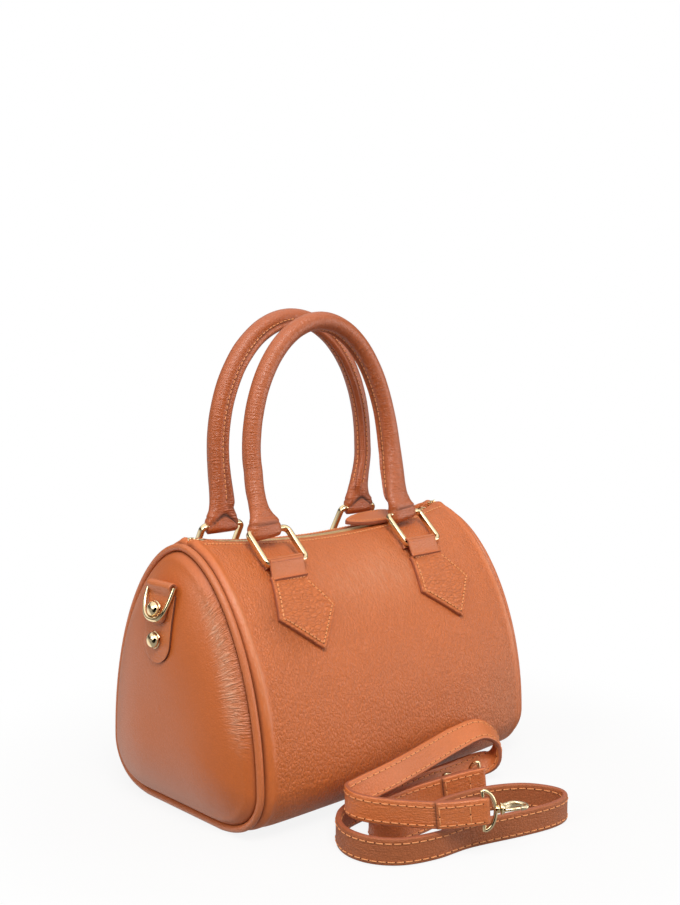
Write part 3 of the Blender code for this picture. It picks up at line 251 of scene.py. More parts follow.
def smooth(low, high, value):
    """0 below low, 1 above high and an even rise between them."""
    share = min(max((value - low) / (high - low), 0.0), 1.0)
    return share * share * (3 - 2 * share)


def band(value, low, full, fading, gone):
    """Rises from 0 at low to 1 at full and falls back from fading to gone."""
    return smooth(low, full, value) * (1 - smooth(fading, gone, value))


def bell(value, middle, width):
    """1 at the middle, falling to nothing over about twice the width on either side."""
    return exp(-((value - middle) / width) ** 2)


def swell_share(x, power=6.0):
    """How far the wrap has swelled away from the piping: 0 at the ends, 1 in the middle."""
    return (1 - min(abs(x) / WRAP_HALF, 1.0) ** power) ** (1 / 3)


def outline(x, angle, swelled=True):
    """A point (y, z) of the bag's outline at x. The angle runs from the top over the front to the base."""
    share = swell_share(x) if swelled else 0.0
    along = min(max((x / WRAP_HALF + 1) / 2, 0.0), 1.0)
    half = lerp(DEPTH_LEFT, DEPTH_RIGHT, along) / 2 + lerp(SWELL_LEFT, SWELL_RIGHT, along) * share
    sagged = MIDDLE_HEIGHT + TOP_ARC - sqrt(TOP_ARC ** 2 - x ** 2)
    top = lerp(END_HEIGHT, sagged, swell_share(x, 12.0)) if swelled else END_HEIGHT
    bottom = lerp(END_BOTTOM, 0.0, min(share / SETTLED_SHARE, 1.0))
    s = abs(sin(angle))
    c = cos(angle)
    if c > 0:
        y = half * s ** TOP_WIDTH_POWER
        sag = SHOULDER_SAG * share * sin(2 * angle) ** 2
        z = WIDEST_HEIGHT + (top - WIDEST_HEIGHT) * c ** TOP_HEIGHT_POWER - sag
    else:
        y = half * s ** BASE_WIDTH_POWER
        drop = min(abs(c) ** BASE_HEIGHT_POWER / BASE_FLAT, 1.0)
        z = WIDEST_HEIGHT - (WIDEST_HEIGHT - bottom) * drop
    return (-y if sin(angle) > 0 else y), z


def skin(x, angle, lift=0.0, swelled=True):
    """A point so far outside the bag's outline, as a vector."""
    step = 0.02
    y, z = outline(x, angle, swelled)
    ya, za = outline(x, angle - step, swelled)
    yb, zb = outline(x, angle + step, swelled)
    length = sqrt((yb - ya) ** 2 + (zb - za) ** 2)
    return Vector((x, y + (zb - za) / length * lift, z - (yb - ya) / length * lift))


def wrap_point(x, angle, lift=0.0):
    """A point on the real, softer wrap: rolled up beside the piping and a little uneven."""
    gap = WRAP_HALF - abs(x)
    roll = sum(rise * bell(gap, middle, width) for rise, middle, width in SEAM_ROLLS)
    plain = skin(x, angle)
    low = smooth(0.004, 0.02, plain.z)
    uneven = noise.noise(plain * 16.0) * BROAD_UNEVEN
    uneven += noise.noise(plain * 42.0 + Vector((3, 1, 7))) * FINE_UNEVEN
    on_top = plain.z > 0.1
    near_top = 1 - smooth(0.0, 0.012, abs(plain.y) - ZIP_SLOT_HALF) if on_top else 0.0
    point = skin(x, angle, lift + roll * lerp(0.35, 1.0, low) + uneven * low * (1 - near_top))
    raised = RIGHT_TOP_RISE * smooth(0.085, 0.118, x) * max(cos(angle), 0.0) ** 3
    lip = SLOT_LIP * bell(abs(plain.y), 0.0065, 0.003) * smooth(0.1, 0.113, abs(x)) if on_top else 0.0
    point.z += raised + lip
    return point


def top_angle(half):
    """The angle of the outline at which the top lies that far from the middle line."""
    return asin((half / (DEPTH_LEFT / 2 + SWELL_LEFT)) ** (1 / TOP_WIDTH_POWER))


def slot_angle(x):
    """The angle at which the wrap's turned edge lies: the slot closes beyond the ends of the zip."""
    return top_angle(lerp(ZIP_SLOT_HALF, SLOT_CLOSED, smooth(0.1125, 0.1175, abs(x))))


def grid_faces(rows, columns, first=0, close_rows=False, close_columns=False):
    """Quads between the points of a grid whose rows lie one after another."""
    faces = []
    for i in range(rows if close_rows else rows - 1):
        for j in range(columns if close_columns else columns - 1):
            k = (j + 1) % columns
            a = first + i * columns
            b = first + ((i + 1) % rows) * columns
            faces.append((a + j, a + k, b + k, b + j))
    return faces


def rim_faces(starts, step, size):
    """Quads from the edge points of one layer, and those a step on, to the layer size points later."""
    return [(a, a + step, a + step + size, a + size) for a in starts]


def sheet_faces(rows, columns):
    """Faces of a sheet whose upper and lower points are two grids, with its four edges."""
    size = rows * columns
    faces = grid_faces(rows, columns) + grid_faces(rows, columns, size)
    faces += rim_faces([i * columns + j for i in range(rows - 1) for j in (0, columns - 1)], columns, size)
    return faces + rim_faces([i * columns + j for j in range(columns - 1) for i in (0, rows - 1)], 1, size)


def new_piece(name, points, faces, finishes, body, indices=None, sharp=radians(45)):
    """A smooth-shaded mesh piece that rides on a body, with its faces turned outwards."""
    mesh = bpy.data.meshes.new(name)
    mesh.from_pydata([tuple(p) for p in points], [], faces)
    for finish in finishes if isinstance(finishes, (list, tuple)) else [finishes]:
        mesh.materials.append(finish)
    if indices:
        mesh.polygons.foreach_set("material_index", indices)
    work = bmesh.new()
    work.from_mesh(mesh)
    bmesh.ops.recalc_face_normals(work, faces=work.faces)
    work.to_mesh(mesh)
    work.free()
    mesh.shade_smooth()
    mesh.set_sharp_from_angle(angle=sharp)
    made = bpy.data.objects.new(name, mesh)
    bpy.context.scene.collection.objects.link(made)
    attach(made, body)
    return made


def note(marks, **values):
    """Adds the numbers of one more point to a piece's lists."""
    for name, number in values.items():
        marks.setdefault(name, []).append(number)


def mark(piece, **lists):
    """Stores a number at every point of a piece for its material."""
    for name, numbers in lists.items():
        if name not in piece.data.attributes:
            piece.data.attributes.new(name, "FLOAT", "POINT")
        piece.data.attributes[name].data.foreach_set("value", numbers)


def vector_of(tree, operation, first, second):
    """The result of a Vector Math node."""
    return node(tree, "VectorMath", {0: first, 1: second}, operation=operation).outputs[0]


def scaled(tree, vector, factor):
    """A vector or colour times a number."""
    return node(tree, "VectorMath", {0: vector, "Scale": factor}, operation="SCALE").outputs[0]


def end_material(tree, out, sockets):
    """Ends a material in a Principled shader with these values and outputs for its sockets."""
    join(tree, out, {"Surface": node(tree, "BsdfPrincipled", sockets).outputs[0]})


def new_group(name, inputs, outputs):
    """A shader node group with named inputs and outputs."""
    made = bpy.data.node_groups.new(name, "ShaderNodeTree")
    for label, value in inputs.items():
        made.interface.new_socket(label, in_out="INPUT", socket_type="NodeSocketFloat").default_value = value
    for label in outputs:
        made.interface.new_socket(label, in_out="OUTPUT", socket_type="NodeSocketFloat")
    return made, made.nodes.new("NodeGroupInput"), made.nodes.new("NodeGroupOutput")


grain_group, given, result = new_group("pebbled grain", {"Pebble": 0.0016, "Warp": 0.0011, "Narrow": 1.0},
                                       ("Height", "Valley", "Tone", "Pebble Tone"))
place = node(grain_group, "TexCoord").outputs["Object"]
wander = node(grain_group, "TexNoise", {"Vector": place, "Scale": 210.0, "Detail": 2.0})
centred = vector_of(grain_group, "SUBTRACT", wander.outputs["Color"], (0.5, 0.5, 0.5))
warped = vector_of(grain_group, "ADD", place, scaled(grain_group, centred, given.outputs["Warp"]))
squeeze = node(grain_group, "CombineXYZ", {0: given.outputs["Narrow"], 1: 1.0, 2: 1.0})
drawn = vector_of(grain_group, "MULTIPLY", warped, squeeze.outputs[0])
cells = scaled(grain_group, drawn, sum_of(grain_group, "DIVIDE", 1.0, given.outputs["Pebble"]))
borders = node(grain_group, "TexVoronoi", {"Vector": cells, "Scale": 1.0}, feature="DISTANCE_TO_EDGE")
domes = node(grain_group, "TexVoronoi", {"Vector": cells, "Scale": 1.0}, feature="SMOOTH_F1")
small = node(grain_group, "TexVoronoi", {"Vector": cells, "Scale": 2.3}, feature="DISTANCE_TO_EDGE")
valley = eased(grain_group, borders.outputs["Distance"], 0.0, 0.17, soft=True)
crack = eased(grain_group, small.outputs["Distance"], 0.0, 0.12, soft=True)
dome = sum_of(grain_group, "MULTIPLY_ADD", domes.outputs["Distance"], -1.0, 1.0)
pebbles = sum_of(grain_group, "MULTIPLY_ADD", valley, 0.3, dome)
relief = sum_of(grain_group, "MULTIPLY_ADD", crack, 0.1, pebbles)
broad = node(grain_group, "TexNoise", {"Vector": place, "Scale": 24.0, "Detail": 4.0})
join(grain_group, result, {"Height": relief, "Valley": valley, "Pebble Tone": domes.outputs["Color"],
                           "Tone": broad.outputs["Fac"]})

crease_group, given, result = new_group("creases", {"Along": 0.0, "Across": 0.0, "Spacing": 0.002,
                                                    "Length": 0.012}, ("Height",))
along = sum_of(crease_group, "DIVIDE", given.outputs["Along"], given.outputs["Spacing"])
across = sum_of(crease_group, "DIVIDE", given.outputs["Across"], given.outputs["Length"])
spot = node(crease_group, "CombineXYZ", {0: along, 1: across})
lines = node(crease_group, "TexNoise", {"Vector": spot.outputs[0], "Scale": 0.9, "Detail": 2.5,
                                        "Roughness": 0.6, "Distortion": 0.35})
offset = sum_of(crease_group, "SUBTRACT", lines.outputs["Fac"], 0.5)
ridge = sum_of(crease_group, "ABSOLUTE", offset)
join(crease_group, result, {"Height": sum_of(crease_group, "MULTIPLY", ridge, 5.0, clamp=True)})

TAN = (0.61, 0.146, 0.025)
DEEP_TAN = (0.36, 0.08, 0.02)
# Colour of painted shade, mixed in where a piece marks it.
PAINTED_SHADE_COLOUR = (0.045, 0.011, 0.004, 1.0)
# Colour of a painted highlight, mixed in where a piece's pale mark asks for it.
PAINTED_HIGHLIGHT_COLOUR = (0.86, 0.5, 0.33, 1.0)
SHEEN_TINT = (1.0, 0.82, 0.8, 1.0)


def leather(name, colour, deep, pebble, relief, roughness, spacing=0.0022, length=0.012, crease=0.0005,
            tone=0.06, narrow=1.0, stain=0.1):
    """Dyed leather: pebbles with darker valleys; creases, painted shade and a painted highlight where a piece
    marks them, with painted shade in the crease hollows; and a satin top coat.
    """
    made, tree, out = blank_material(name)
    run, gap, worn, plain, dark, pale = [node(tree, "Attribute", attribute_name=label).outputs["Fac"]
                                         for label in ("run", "gap", "worn", "plain", "dark", "pale")]
    grain = node(tree, "Group", {"Pebble": pebble, "Warp": pebble * 0.7, "Narrow": narrow},
                 node_tree=grain_group)
    creases = node(tree, "Group", {"Along": run, "Across": gap, "Spacing": spacing, "Length": length},
                   node_tree=crease_group)
    pressed = sum_of(tree, "MULTIPLY", creases.outputs["Height"], worn)
    valley = sum_of(tree, "MAXIMUM", grain.outputs["Valley"], plain)
    shade = sum_of(tree, "MULTIPLY_ADD", valley, stain, 1 - stain)
    # Crease hollows are painted darker where a piece marks creases: painted shade in the creases.
    sunk = sum_of(tree, "SUBTRACT", worn, pressed)
    shade_worn = sum_of(tree, "MULTIPLY_ADD", sunk, -0.2, shade)
    dyed = mixed(tree, "MixRGB", shade_worn, (*deep, 1.0), (*colour, 1.0), use_clamp=True)
    light = [min(c * (1 + tone), 1.0) for c in colour]
    patchy = eased(tree, grain.outputs["Tone"], 0.35, 0.68, 0.0, 0.4)
    tinted = mixed(tree, "MixRGB", patchy, dyed, (*light, 1.0))
    each = eased(tree, grain.outputs["Pebble Tone"], 0.2, 0.8, 1 - stain * 0.2, 1 + stain * 0.2)
    # Painted shade is mixed in where a piece marks it: seam grooves, openings, creases and shaded loops.
    shaded = mixed(tree, "MixRGB", dark, scaled(tree, tinted, each), PAINTED_SHADE_COLOUR)
    # The pale mark mixes in a painted highlight, streaked by the creases; the result is the colour with that
    # painted highlight.
    streaks = eased(tree, creases.outputs["Height"], 0.1, 0.7, 0.35, 1.0)
    polished = mixed(tree, "MixRGB", sum_of(tree, "MULTIPLY", pale, streaks), shaded, PAINTED_HIGHLIGHT_COLOUR)
    rough = sum_of(tree, "MULTIPLY_ADD", grain.outputs["Valley"], -0.09, roughness + 0.09)
    # Painted shade is made rougher, so that it mirrors the studio less.
    rough = sum_of(tree, "MULTIPLY_ADD", dark, 0.45, rough)
    first = node(tree, "Bump", {"Height": pressed, "Distance": crease, "Strength": 1.0})
    left_grained = sum_of(tree, "SUBTRACT", 1.0, plain)
    second = node(tree, "Bump", {"Height": sum_of(tree, "MULTIPLY", grain.outputs["Height"], left_grained),
                                 "Distance": relief, "Strength": 1.0, "Normal": first.outputs[0]})
    end_material(tree, out, {"Base Color": polished, "Roughness": rough, "Normal": second.outputs[0],
                             "Specular IOR Level": 0.65, "Sheen Weight": 0.04, "Sheen Roughness": 0.35,
                             "Sheen Tint": SHEEN_TINT})
    return made


wrap_leather = leather("pebbled tan leather", TAN, DEEP_TAN, pebble=0.0025, relief=0.00058, roughness=0.42,
                       narrow=1.6, stain=0.2)
wrap_points = []
wrap_inner = []
wrap_marks = {}
for i in range(WRAP_STATIONS + 1):
    share = 2 * i / WRAP_STATIONS - 1
    x = WRAP_HALF * (1 - (1 - abs(share)) ** 1.6) * (1 if share > 0 else -1)
    gap = WRAP_HALF - abs(x)
    slot = slot_angle(x)
    wrap_angles = [lerp(slot, 2 * pi - slot, k / WRAP_TURNS) for k in range(WRAP_TURNS + 1)]
    row = [wrap_point(x, a) for a in wrap_angles]
    under = [wrap_point(x, a, -LEATHER) for a in wrap_angles]
    for line in (row, under):
        for end, side in ((0, -1), (-1, 1)):
            rolled = []
            for a in (radians(30), radians(60), radians(90)):
                turned = Vector((0, -side * TURNED_EDGE * sin(a), -TURNED_EDGE * (1 - cos(a))))
                rolled.append(line[end] + turned)
            if end:
                line.extend(rolled)
            else:
                line[:0] = reversed(rolled)
    wrap_points += row
    wrap_inner += under
    reach = 0.0
    for j, point in enumerate(row):
        reach += (point - row[j - 1]).length if j else 0.0
        ends = bell(gap, 0.0, 0.016) * smooth(0.02, 0.06, point.z)
        lower = smooth(0.02, 0.1, x) * (1 - smooth(0.05, 0.105, point.z)) * 0.9
        pulled = bell(x, -0.085, 0.02) * bell(point.z, 0.135, 0.022) if point.y < 0 else 0.0
        # A painted highlight on the roll beside the piping, across the top front and on the lower right
        # front.
        painted_highlight_share = 0.3 * bell(gap, 0.0042, 0.0022) * band(point.z, 0.06, 0.11, 0.15, 0.172)
        painted_highlight_share += 0.24 * bell(point.z, 0.15, 0.016) * bell(x, 0.01, 0.06)
        painted_highlight_share += 0.13 * bell(x, 0.1, 0.035) * bell(point.z, 0.05, 0.03)
        # The thin line along the seam beside the piping is painted shade in its groove.
        note(wrap_marks, run=point.x + 0.6 * point.z * pulled, gap=reach,
             worn=max(ends * 0.2, lower * 0.6, pulled * 0.8), plain=(1 - smooth(0.0055, 0.0105, gap)) * 0.8,
             dark=0.6 * bell(gap, 0.0, 0.0009), pale=painted_highlight_share)
wrap_faces = sheet_faces(WRAP_STATIONS + 1, len(row))
body_wrap = new_piece("wrap", wrap_points + wrap_inner, wrap_faces, wrap_leather, "bag")
mark(body_wrap, **{name: numbers * 2 for name, numbers in wrap_marks.items()})
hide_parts("body_wrap")

# Piping
# A narrow strip of smooth leather round a cord, caught in the seam between wrap and end panel.
PIPE_SIDES = 14
PIPE_STEPS = 300
SIDES = {"left": -1, "right": 1}
piping_leather = leather("smooth piping leather", (0.60, 0.16, 0.042), (0.42, 0.1, 0.03), pebble=0.0014,
                         relief=0.0001, roughness=0.36, spacing=0.0016, length=0.006, crease=0.0002)
for tag, side in SIDES.items():
    points = []
    marks = {}
    for i in range(PIPE_STEPS):
        for k in range(PIPE_SIDES):
            turn = 2 * pi * k / PIPE_SIDES
            point = skin(side * HALF_LENGTH, 2 * pi * i / PIPE_STEPS, PIPING_RADIUS * cos(turn), False)
            point.x += PIPING_RADIUS * sin(turn)
            points.append(point)
            note(marks, run=i * 0.0018, gap=k * 0.001, worn=0.5)
    faces = grid_faces(PIPE_STEPS, PIPE_SIDES, 0, True, True)
    piping = new_piece("piping." + tag, points, faces, piping_leather, "bag")
    mark(piping, **marks)
    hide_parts("piping_" + tag)

# End panels
# The same hide, stretched into a soft outward swell; it puckers where the seam pulls it in.
PANEL_SWELL = 0.020
PANEL_CENTRE = END_HEIGHT * 0.42
PANEL_MIDDLE = Vector((0, 0, PANEL_CENTRE))
PANEL_RINGS = 56
PANEL_STEPS = 330
PANEL_UNEVEN = 0.0009
PANEL_SEAM_ROLL = 0.0007
panel_leather = leather("end panel leather", (0.56, 0.132, 0.022), DEEP_TAN, pebble=0.0016, relief=0.0001,
                        roughness=0.38, spacing=0.0021, length=0.009, crease=0.0008, tone=0.03)


def panel_x(side, y, z, lift=0.0):
    """The x of an end panel's outer face at a place near its middle line."""
    rim = skin(side * HALF_LENGTH, atan2(abs(y), z - PANEL_CENTRE), -PIPING_RADIUS - FIT, False)
    share = min(sqrt(y ** 2 + (z - PANEL_CENTRE) ** 2) / sqrt(rim.y ** 2 + (rim.z - PANEL_CENTRE) ** 2), 1.0)
    return side * (HALF_LENGTH + LEATHER / 2 + PANEL_SWELL * (1 - share ** 3) ** 0.8 + lift)


def path_reach(points):
    """How far along a path each of its points lies."""
    reach = [0.0]
    for a, b in zip(points, points[1:]):
        reach.append(reach[-1] + (b - a).length)
    return reach


for tag, side in SIDES.items():
    points = []
    marks = {}
    rims = [skin(side * HALF_LENGTH, 2 * pi * k / PANEL_STEPS, -PIPING_RADIUS - FIT, False)
            for k in range(PANEL_STEPS)]
    for layer in (0, 1):
        face_x = HALF_LENGTH + LEATHER / 2 - layer * LEATHER
        for i in range(PANEL_RINGS):
            share = 1 - (i / PANEL_RINGS) ** 1.35
            swell = PANEL_SWELL * (1 - share ** 3) ** 0.8
            for rim, reach in zip(rims, path_reach(rims)):
                y = rim.y * share
                z = PANEL_CENTRE + (rim.z - PANEL_CENTRE) * share
                inward = sqrt(rim.y ** 2 + (rim.z - PANEL_CENTRE) ** 2) * (1 - share)
                soft = noise.noise(Vector((side * 3.0, y * 22, z * 22))) * PANEL_UNEVEN
                soft *= smooth(0.0, 0.012, inward)
                seam = PANEL_SEAM_ROLL * bell(inward, 0.0045, 0.0025)
                points.append(Vector((side * (face_x + swell + soft + seam), y, z)))
                pull = bell(inward, 0.004, 0.0075) * band(z, 0.05, 0.085, 0.145, 0.17)
                # A painted highlight in a band along the rim, stronger at the front, and painted shade in the
                # seam groove beside the piping.
                painted_highlight_band = bell(inward, 0.0068, 0.0042) * band(z, 0.05, 0.1, 0.135, 0.168)
                note(marks, run=reach, gap=inward, worn=pull * (0.8 if y < 0 else 0.5),
                     dark=0.4 * bell(inward, 0.0, 0.0009), pale=(0.6 if y < 0 else 0.3) * painted_highlight_band)
        points.append(PANEL_MIDDLE + Vector((side * (face_x + PANEL_SWELL), 0, 0)))
        note(marks, run=0.0, gap=0.05, worn=0.0, dark=0.0, pale=0.0)
    size = PANEL_RINGS * PANEL_STEPS + 1
    faces = []
    for first in (0, size):
        faces += grid_faces(PANEL_RINGS, PANEL_STEPS, first, False, True)
        last = first + (PANEL_RINGS - 1) * PANEL_STEPS
        faces += [(last + j, last + (j + 1) % PANEL_STEPS, first + size - 1) for j in range(PANEL_STEPS)]
    faces += [(j, (j + 1) % PANEL_STEPS, (j + 1) % PANEL_STEPS + size, j + size) for j in range(PANEL_STEPS)]
    panel = new_piece("end_panel." + tag, points, faces, panel_leather, "bag")
    mark(panel, **marks)
    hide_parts("end_panel_" + tag)

# Thread
# Waxed tan thread, a little lighter than the leather. Each stitch is a short round
# bar that dips into a hole at either end, a near-black plug of painted shade.
THREAD_RADIUS = 0.00052
THREAD_SIDES = 6
# Place along a stitch, rise and width of each of its rings, as shares of its length and thickness.
STITCH_RINGS = ((-0.42, -0.5, 0.5), (-0.34, 0.1, 0.95), (0.0, 0.45, 1.0), (0.34, 0.1, 0.95),
                (0.42, -0.5, 0.5))
HOLE_SHARE = 1.25
HOLE_SIDES = 8
HOLE_LIFTS = (-0.4, 0.12)


def plain_material(name, colour, roughness, mottle=0.0, scale=900.0, relief=0.0):
    """A Principled material whose colour and surface vary finely."""
    made, tree, out = blank_material(name)
    place = node(tree, "TexCoord").outputs["Object"]
    fine = node(tree, "TexNoise", {"Vector": place, "Scale": scale, "Detail": 3.0}).outputs["Fac"]
    spread = eased(tree, fine, 0.3, 0.7, 1 - mottle, 1 + mottle)
    bump = node(tree, "Bump", {"Height": fine, "Distance": relief, "Strength": 1.0})
    end_material(tree, out, {"Base Color": scaled(tree, colour, spread), "Roughness": roughness,
                             "Normal": bump.outputs[0]})
    return made


thread_finish = plain_material("waxed thread", (0.80, 0.33, 0.125), 0.55, mottle=0.2, scale=2600.0,
                               relief=0.00008)
needle_hole_shade = plain_material("needle hole shade", (0.11, 0.027, 0.009), 0.8, mottle=0.1)


def tube_faces(rows, columns, first=0):
    """Faces of a tube of rings of points, with its two ends closed."""
    last = first + (rows - 1) * columns
    ends = [tuple(range(first, first + columns)), tuple(range(last, last + columns))]
    return grid_faces(rows, columns, first, False, True) + ends


def ring_points(middle, across, above, half_across, half_above, sides):
    """Points of an oval round a middle, in the plane of two directions."""
    turns = [2 * pi * k / sides for k in range(sides)]
    return [middle + across * (half_across * cos(t)) + above * (half_above * sin(t)) for t in turns]


def span_at(reach, wanted):
    """Which span of a path lies that far along it, and the share of the span that lies before."""
    k = 0
    while k < len(reach) - 2 and reach[k + 1] < wanted:
        k += 1
    return k, (wanted - reach[k]) / max(reach[k + 1] - reach[k], 1e-9)


def line_place(line, reach, wanted):
    """The point and outward direction that far along a stitch line."""
    k, share = span_at(reach, wanted)
    return line[k][0].lerp(line[k + 1][0], share), line[k][1].lerp(line[k + 1][1], share).normalized()


def sew(name, lines, body, pitch=0.0031, radius=THREAD_RADIUS):
    """Stitches along lines of (point, outward direction) pairs, all of them one piece."""
    points = []
    faces = []
    indices = []
    hole_radius = radius * HOLE_SHARE
    for line in lines:
        reach = path_reach([point for point, up in line])
        count = max(1, round(reach[-1] / pitch))
        step = reach[-1] / count
        for i in range(count):
            made = tube_faces(len(STITCH_RINGS), THREAD_SIDES, len(points))
            start = line_place(line, reach, (i + 0.1) * step)[0]
            ahead = (line_place(line, reach, (i + 0.9) * step)[0] - start).normalized()
            for share, rise, width in STITCH_RINGS:
                point, up = line_place(line, reach, (i + 0.5 + share) * step)
                side = ahead.cross(up).normalized()
                middle = point + up * (radius * rise)
                points += ring_points(middle, side, up, radius * width, radius * width, THREAD_SIDES)
            faces += made
            indices += [0] * len(made)
            made = tube_faces(len(HOLE_LIFTS), HOLE_SIDES, len(points))
            hole, up = line_place(line, reach, i * step)
            ahead = (line_place(line, reach, (i + 0.5) * step)[0] - hole).normalized()
            side = ahead.cross(up).normalized()
            for lift in HOLE_LIFTS:
                middle = hole + up * (hole_radius * lift)
                points += ring_points(middle, side, ahead, hole_radius * 0.8, hole_radius, HOLE_SIDES)
            faces += made
            indices += [1] * len(made)
    return new_piece(name, points, faces, [thread_finish, needle_hole_shade], body, indices)


def wrap_line(x_from, x_to, angle, steps):
    """A line along the wrap at one angle, with its outward directions."""
    line = []
    for k in range(steps + 1):
        x = lerp(x_from, x_to, k / steps)
        point = wrap_point(x, angle)
        line.append((point, (wrap_point(x, angle, 0.002) - point).normalized()))
    return line


ZIP_SEAM_HALF = 0.118
ZIP_SEAM_ANGLE = top_angle(0.0105)
zip_seams = [wrap_line(-ZIP_SEAM_HALF, ZIP_SEAM_HALF, a, 90) for a in (ZIP_SEAM_ANGLE, -ZIP_SEAM_ANGLE)]
sew("zip_seams", zip_seams, "bag", 0.003)

# Lining and base board
# A woven cloth bag inside the leather, open along the zip, and a stiff board on the base.
LINING_STAND = 0.003
LINING_END_GAP = 0.006
LINING_CLOTH = 0.001
LINING_STATIONS = 25
LINING_COLUMNS = 91
weave_group, given, result = new_group("plain weave", {"Threads": 900.0}, ("Height",))
place = node(weave_group, "TexCoord").outputs["Object"]
parts = node(weave_group, "SeparateXYZ", {0: scaled(weave_group, place, given.outputs["Threads"])})
warp = sum_of(weave_group, "SINE", parts.outputs["X"])
weft = sum_of(weave_group, "SINE", sum_of(weave_group, "ADD", parts.outputs["Y"], parts.outputs["Z"]))
crossed = sum_of(weave_group, "MULTIPLY", warp, weft)
join(weave_group, result, {"Height": sum_of(weave_group, "MULTIPLY_ADD", crossed, 0.5, 0.5)})


def cloth(name, colour, deep, threads):
    """Plain-woven cloth."""
    made, tree, out = blank_material(name)
    weave = node(tree, "Group", {"Threads": threads}, node_tree=weave_group).outputs["Height"]
    bump = node(tree, "Bump", {"Height": weave, "Distance": 0.0002, "Strength": 1.0})
    end_material(tree, out, {"Base Color": mixed(tree, "MixRGB", weave, (*deep, 1.0), (*colour, 1.0)),
                             "Roughness": 0.9, "Normal": bump.outputs[0], "Sheen Weight": 0.3})
    return made


def coat(node_name, finish):
    """Gives a solid that the scene shows as it is its finish."""
    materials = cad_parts[node_name].data.materials
    materials.clear()
    materials.append(finish)


lining_cloth = cloth("lining cloth", (0.33, 0.22, 0.14), (0.2, 0.13, 0.08), 2400.0)
lining_edge = top_angle(0.013)
lining_half = HALF_LENGTH - LINING_END_GAP
last = LINING_COLUMNS - 1
points = []
for layer in (0, 1):
    for i in range(LINING_STATIONS):
        x = (lining_half - layer * LINING_CLOTH) * (2 * i / (LINING_STATIONS - 1) - 1)
        across = x * (WRAP_HALF - PIPING_RADIUS * 2) / lining_half
        for j in range(LINING_COLUMNS):
            angle = lerp(lining_edge, 2 * pi - lining_edge, j / last)
            point = skin(across, angle, -LEATHER - LINING_STAND - layer * LINING_CLOTH)
            points.append(Vector((x, point.y, point.z)))
size = LINING_STATIONS * LINING_COLUMNS
end_starts = [0, size - LINING_COLUMNS]
faces = grid_faces(LINING_STATIONS, LINING_COLUMNS) + grid_faces(LINING_STATIONS, LINING_COLUMNS, size)
for start in end_starts + [size + start for start in end_starts]:
    faces += [(start + j, start + j + 1, start + last - 1 - j, start + last - j)
              for j in range(last // 2 - 1)]
    faces.append((start + last // 2 - 1, start + last // 2, start + last // 2 + 1))
edge_starts = [i * LINING_COLUMNS + j for i in range(LINING_STATIONS - 1) for j in (0, last)]
faces += rim_faces(edge_starts, LINING_COLUMNS, size) + rim_faces(end_starts, last, size)
lining = new_piece("lining_bag", points, faces, lining_cloth, "bag")
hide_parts("lining")
board_finish = plain_material("base board", (0.25, 0.2, 0.15), 0.9, mottle=0.15, scale=500.0, relief=0.0001)
coat("base_board", board_finish)

# Zip
# Two woven tapes under the wrap's turned edges, a row of small gilt teeth on each, stops at both
# ends, and a slider whose link carries a long stitched leather pull.
TEETH_LENGTH = 0.226
TAPE_LENGTH = TEETH_LENGTH + 0.009
TAPE_STATIONS = 61
TAPE_HALF = 0.011
TAPE_THICKNESS = 0.0008
RAIL_OUTER = 0.0032
TOOTH_PITCH = 0.0023
TOOTH_SINK = 0.0003
STOP_LENGTH = 0.004
ZIP_RISE = 0.0009
TEETH_RISE = 0.0015
ROUND_STEP = 2 * pi / 40
TAPE_PROFILE = ((0.0008, TEETH_RISE), (0.002, TEETH_RISE), (RAIL_OUTER, TEETH_RISE / 2), (0.0055, 0.0),
                (TAPE_HALF, 0.0))
TOOTH_RINGS = ((-0.0010, 0.0005, 0.0015), (0.0006, 0.00062, 0.0019), (0.0026, 0.00055, 0.0017))
TOOTH_SECTION = ((-1, 0), (-1, 0.7), (-0.6, 1), (0.6, 1), (1, 0.7), (1, 0))
END_BIT_PLACES = ((0.1168, 0.0011), (0.1168, -0.0011), (0.1196, 0.0009), (0.1196, -0.0009), (0.1222, 0.0))
END_BIT_BELOW = Vector((0.0009, 0.0008, 0.0016))
END_BIT_ABOVE = Vector((0.0009, 0.0008, 0.0011))
ALONG_BAG = Vector((1, 0, 0))
ACROSS_BAG = Vector((0, 1, 0))
gold_group, given, result = new_group("polish marks", {"Amount": 0.05}, ("Roughness", "Height"))
place = node(gold_group, "TexCoord").outputs["Object"]
smears = node(gold_group, "TexNoise", {"Vector": place, "Scale": 160.0, "Detail": 3.0}).outputs["Fac"]
scratches = node(gold_group, "TexNoise", {"Vector": place, "Scale": 2500.0, "Detail": 2.0}).outputs["Fac"]
dull = sum_of(gold_group, "MULTIPLY", smears, given.outputs["Amount"])
join(gold_group, result, {"Roughness": dull, "Height": scratches})


def gilt(name, colour, roughness):
    """Pale gold plating, polished, with faint smears."""
    made, tree, out = blank_material(name)
    polish = node(tree, "Group", {"Amount": 0.12}, node_tree=gold_group)
    rough = sum_of(tree, "ADD", polish.outputs["Roughness"], roughness - 0.06)
    bump = node(tree, "Bump", {"Height": polish.outputs["Height"], "Distance": 0.00001, "Strength": 0.6})
    end_material(tree, out, {"Base Color": (*colour, 1.0), "Metallic": 1.0, "Roughness": rough,
                             "Normal": bump.outputs[0]})
    return made


# The teeth get a lighter copy of the gold: painted light, so the small teeth do not go dim where they mirror
# the studio's darker bands.
lit_teeth_gold = gilt("zip teeth plating, painted lighter", (0.93, 0.78, 0.5), 0.42)
# The hooks get a darker copy of the gold, painted shade, with a rougher satin finish.
shaded_hook_gold = gilt("satin hook plating in painted shade", (0.6, 0.5, 0.33), 0.26)
pale_gold = gilt("pale gold plating", (0.76, 0.61, 0.37), 0.14)
tape_cloth = cloth("zip tape", (0.46, 0.15, 0.055), (0.28, 0.08, 0.03), 5200.0)


def tape_top(x):
    """Height of the tape's upper face: just under the wrap's turned edges."""
    return skin(x, ROUND_STEP, -LEATHER - FIT * 2).z + ZIP_RISE


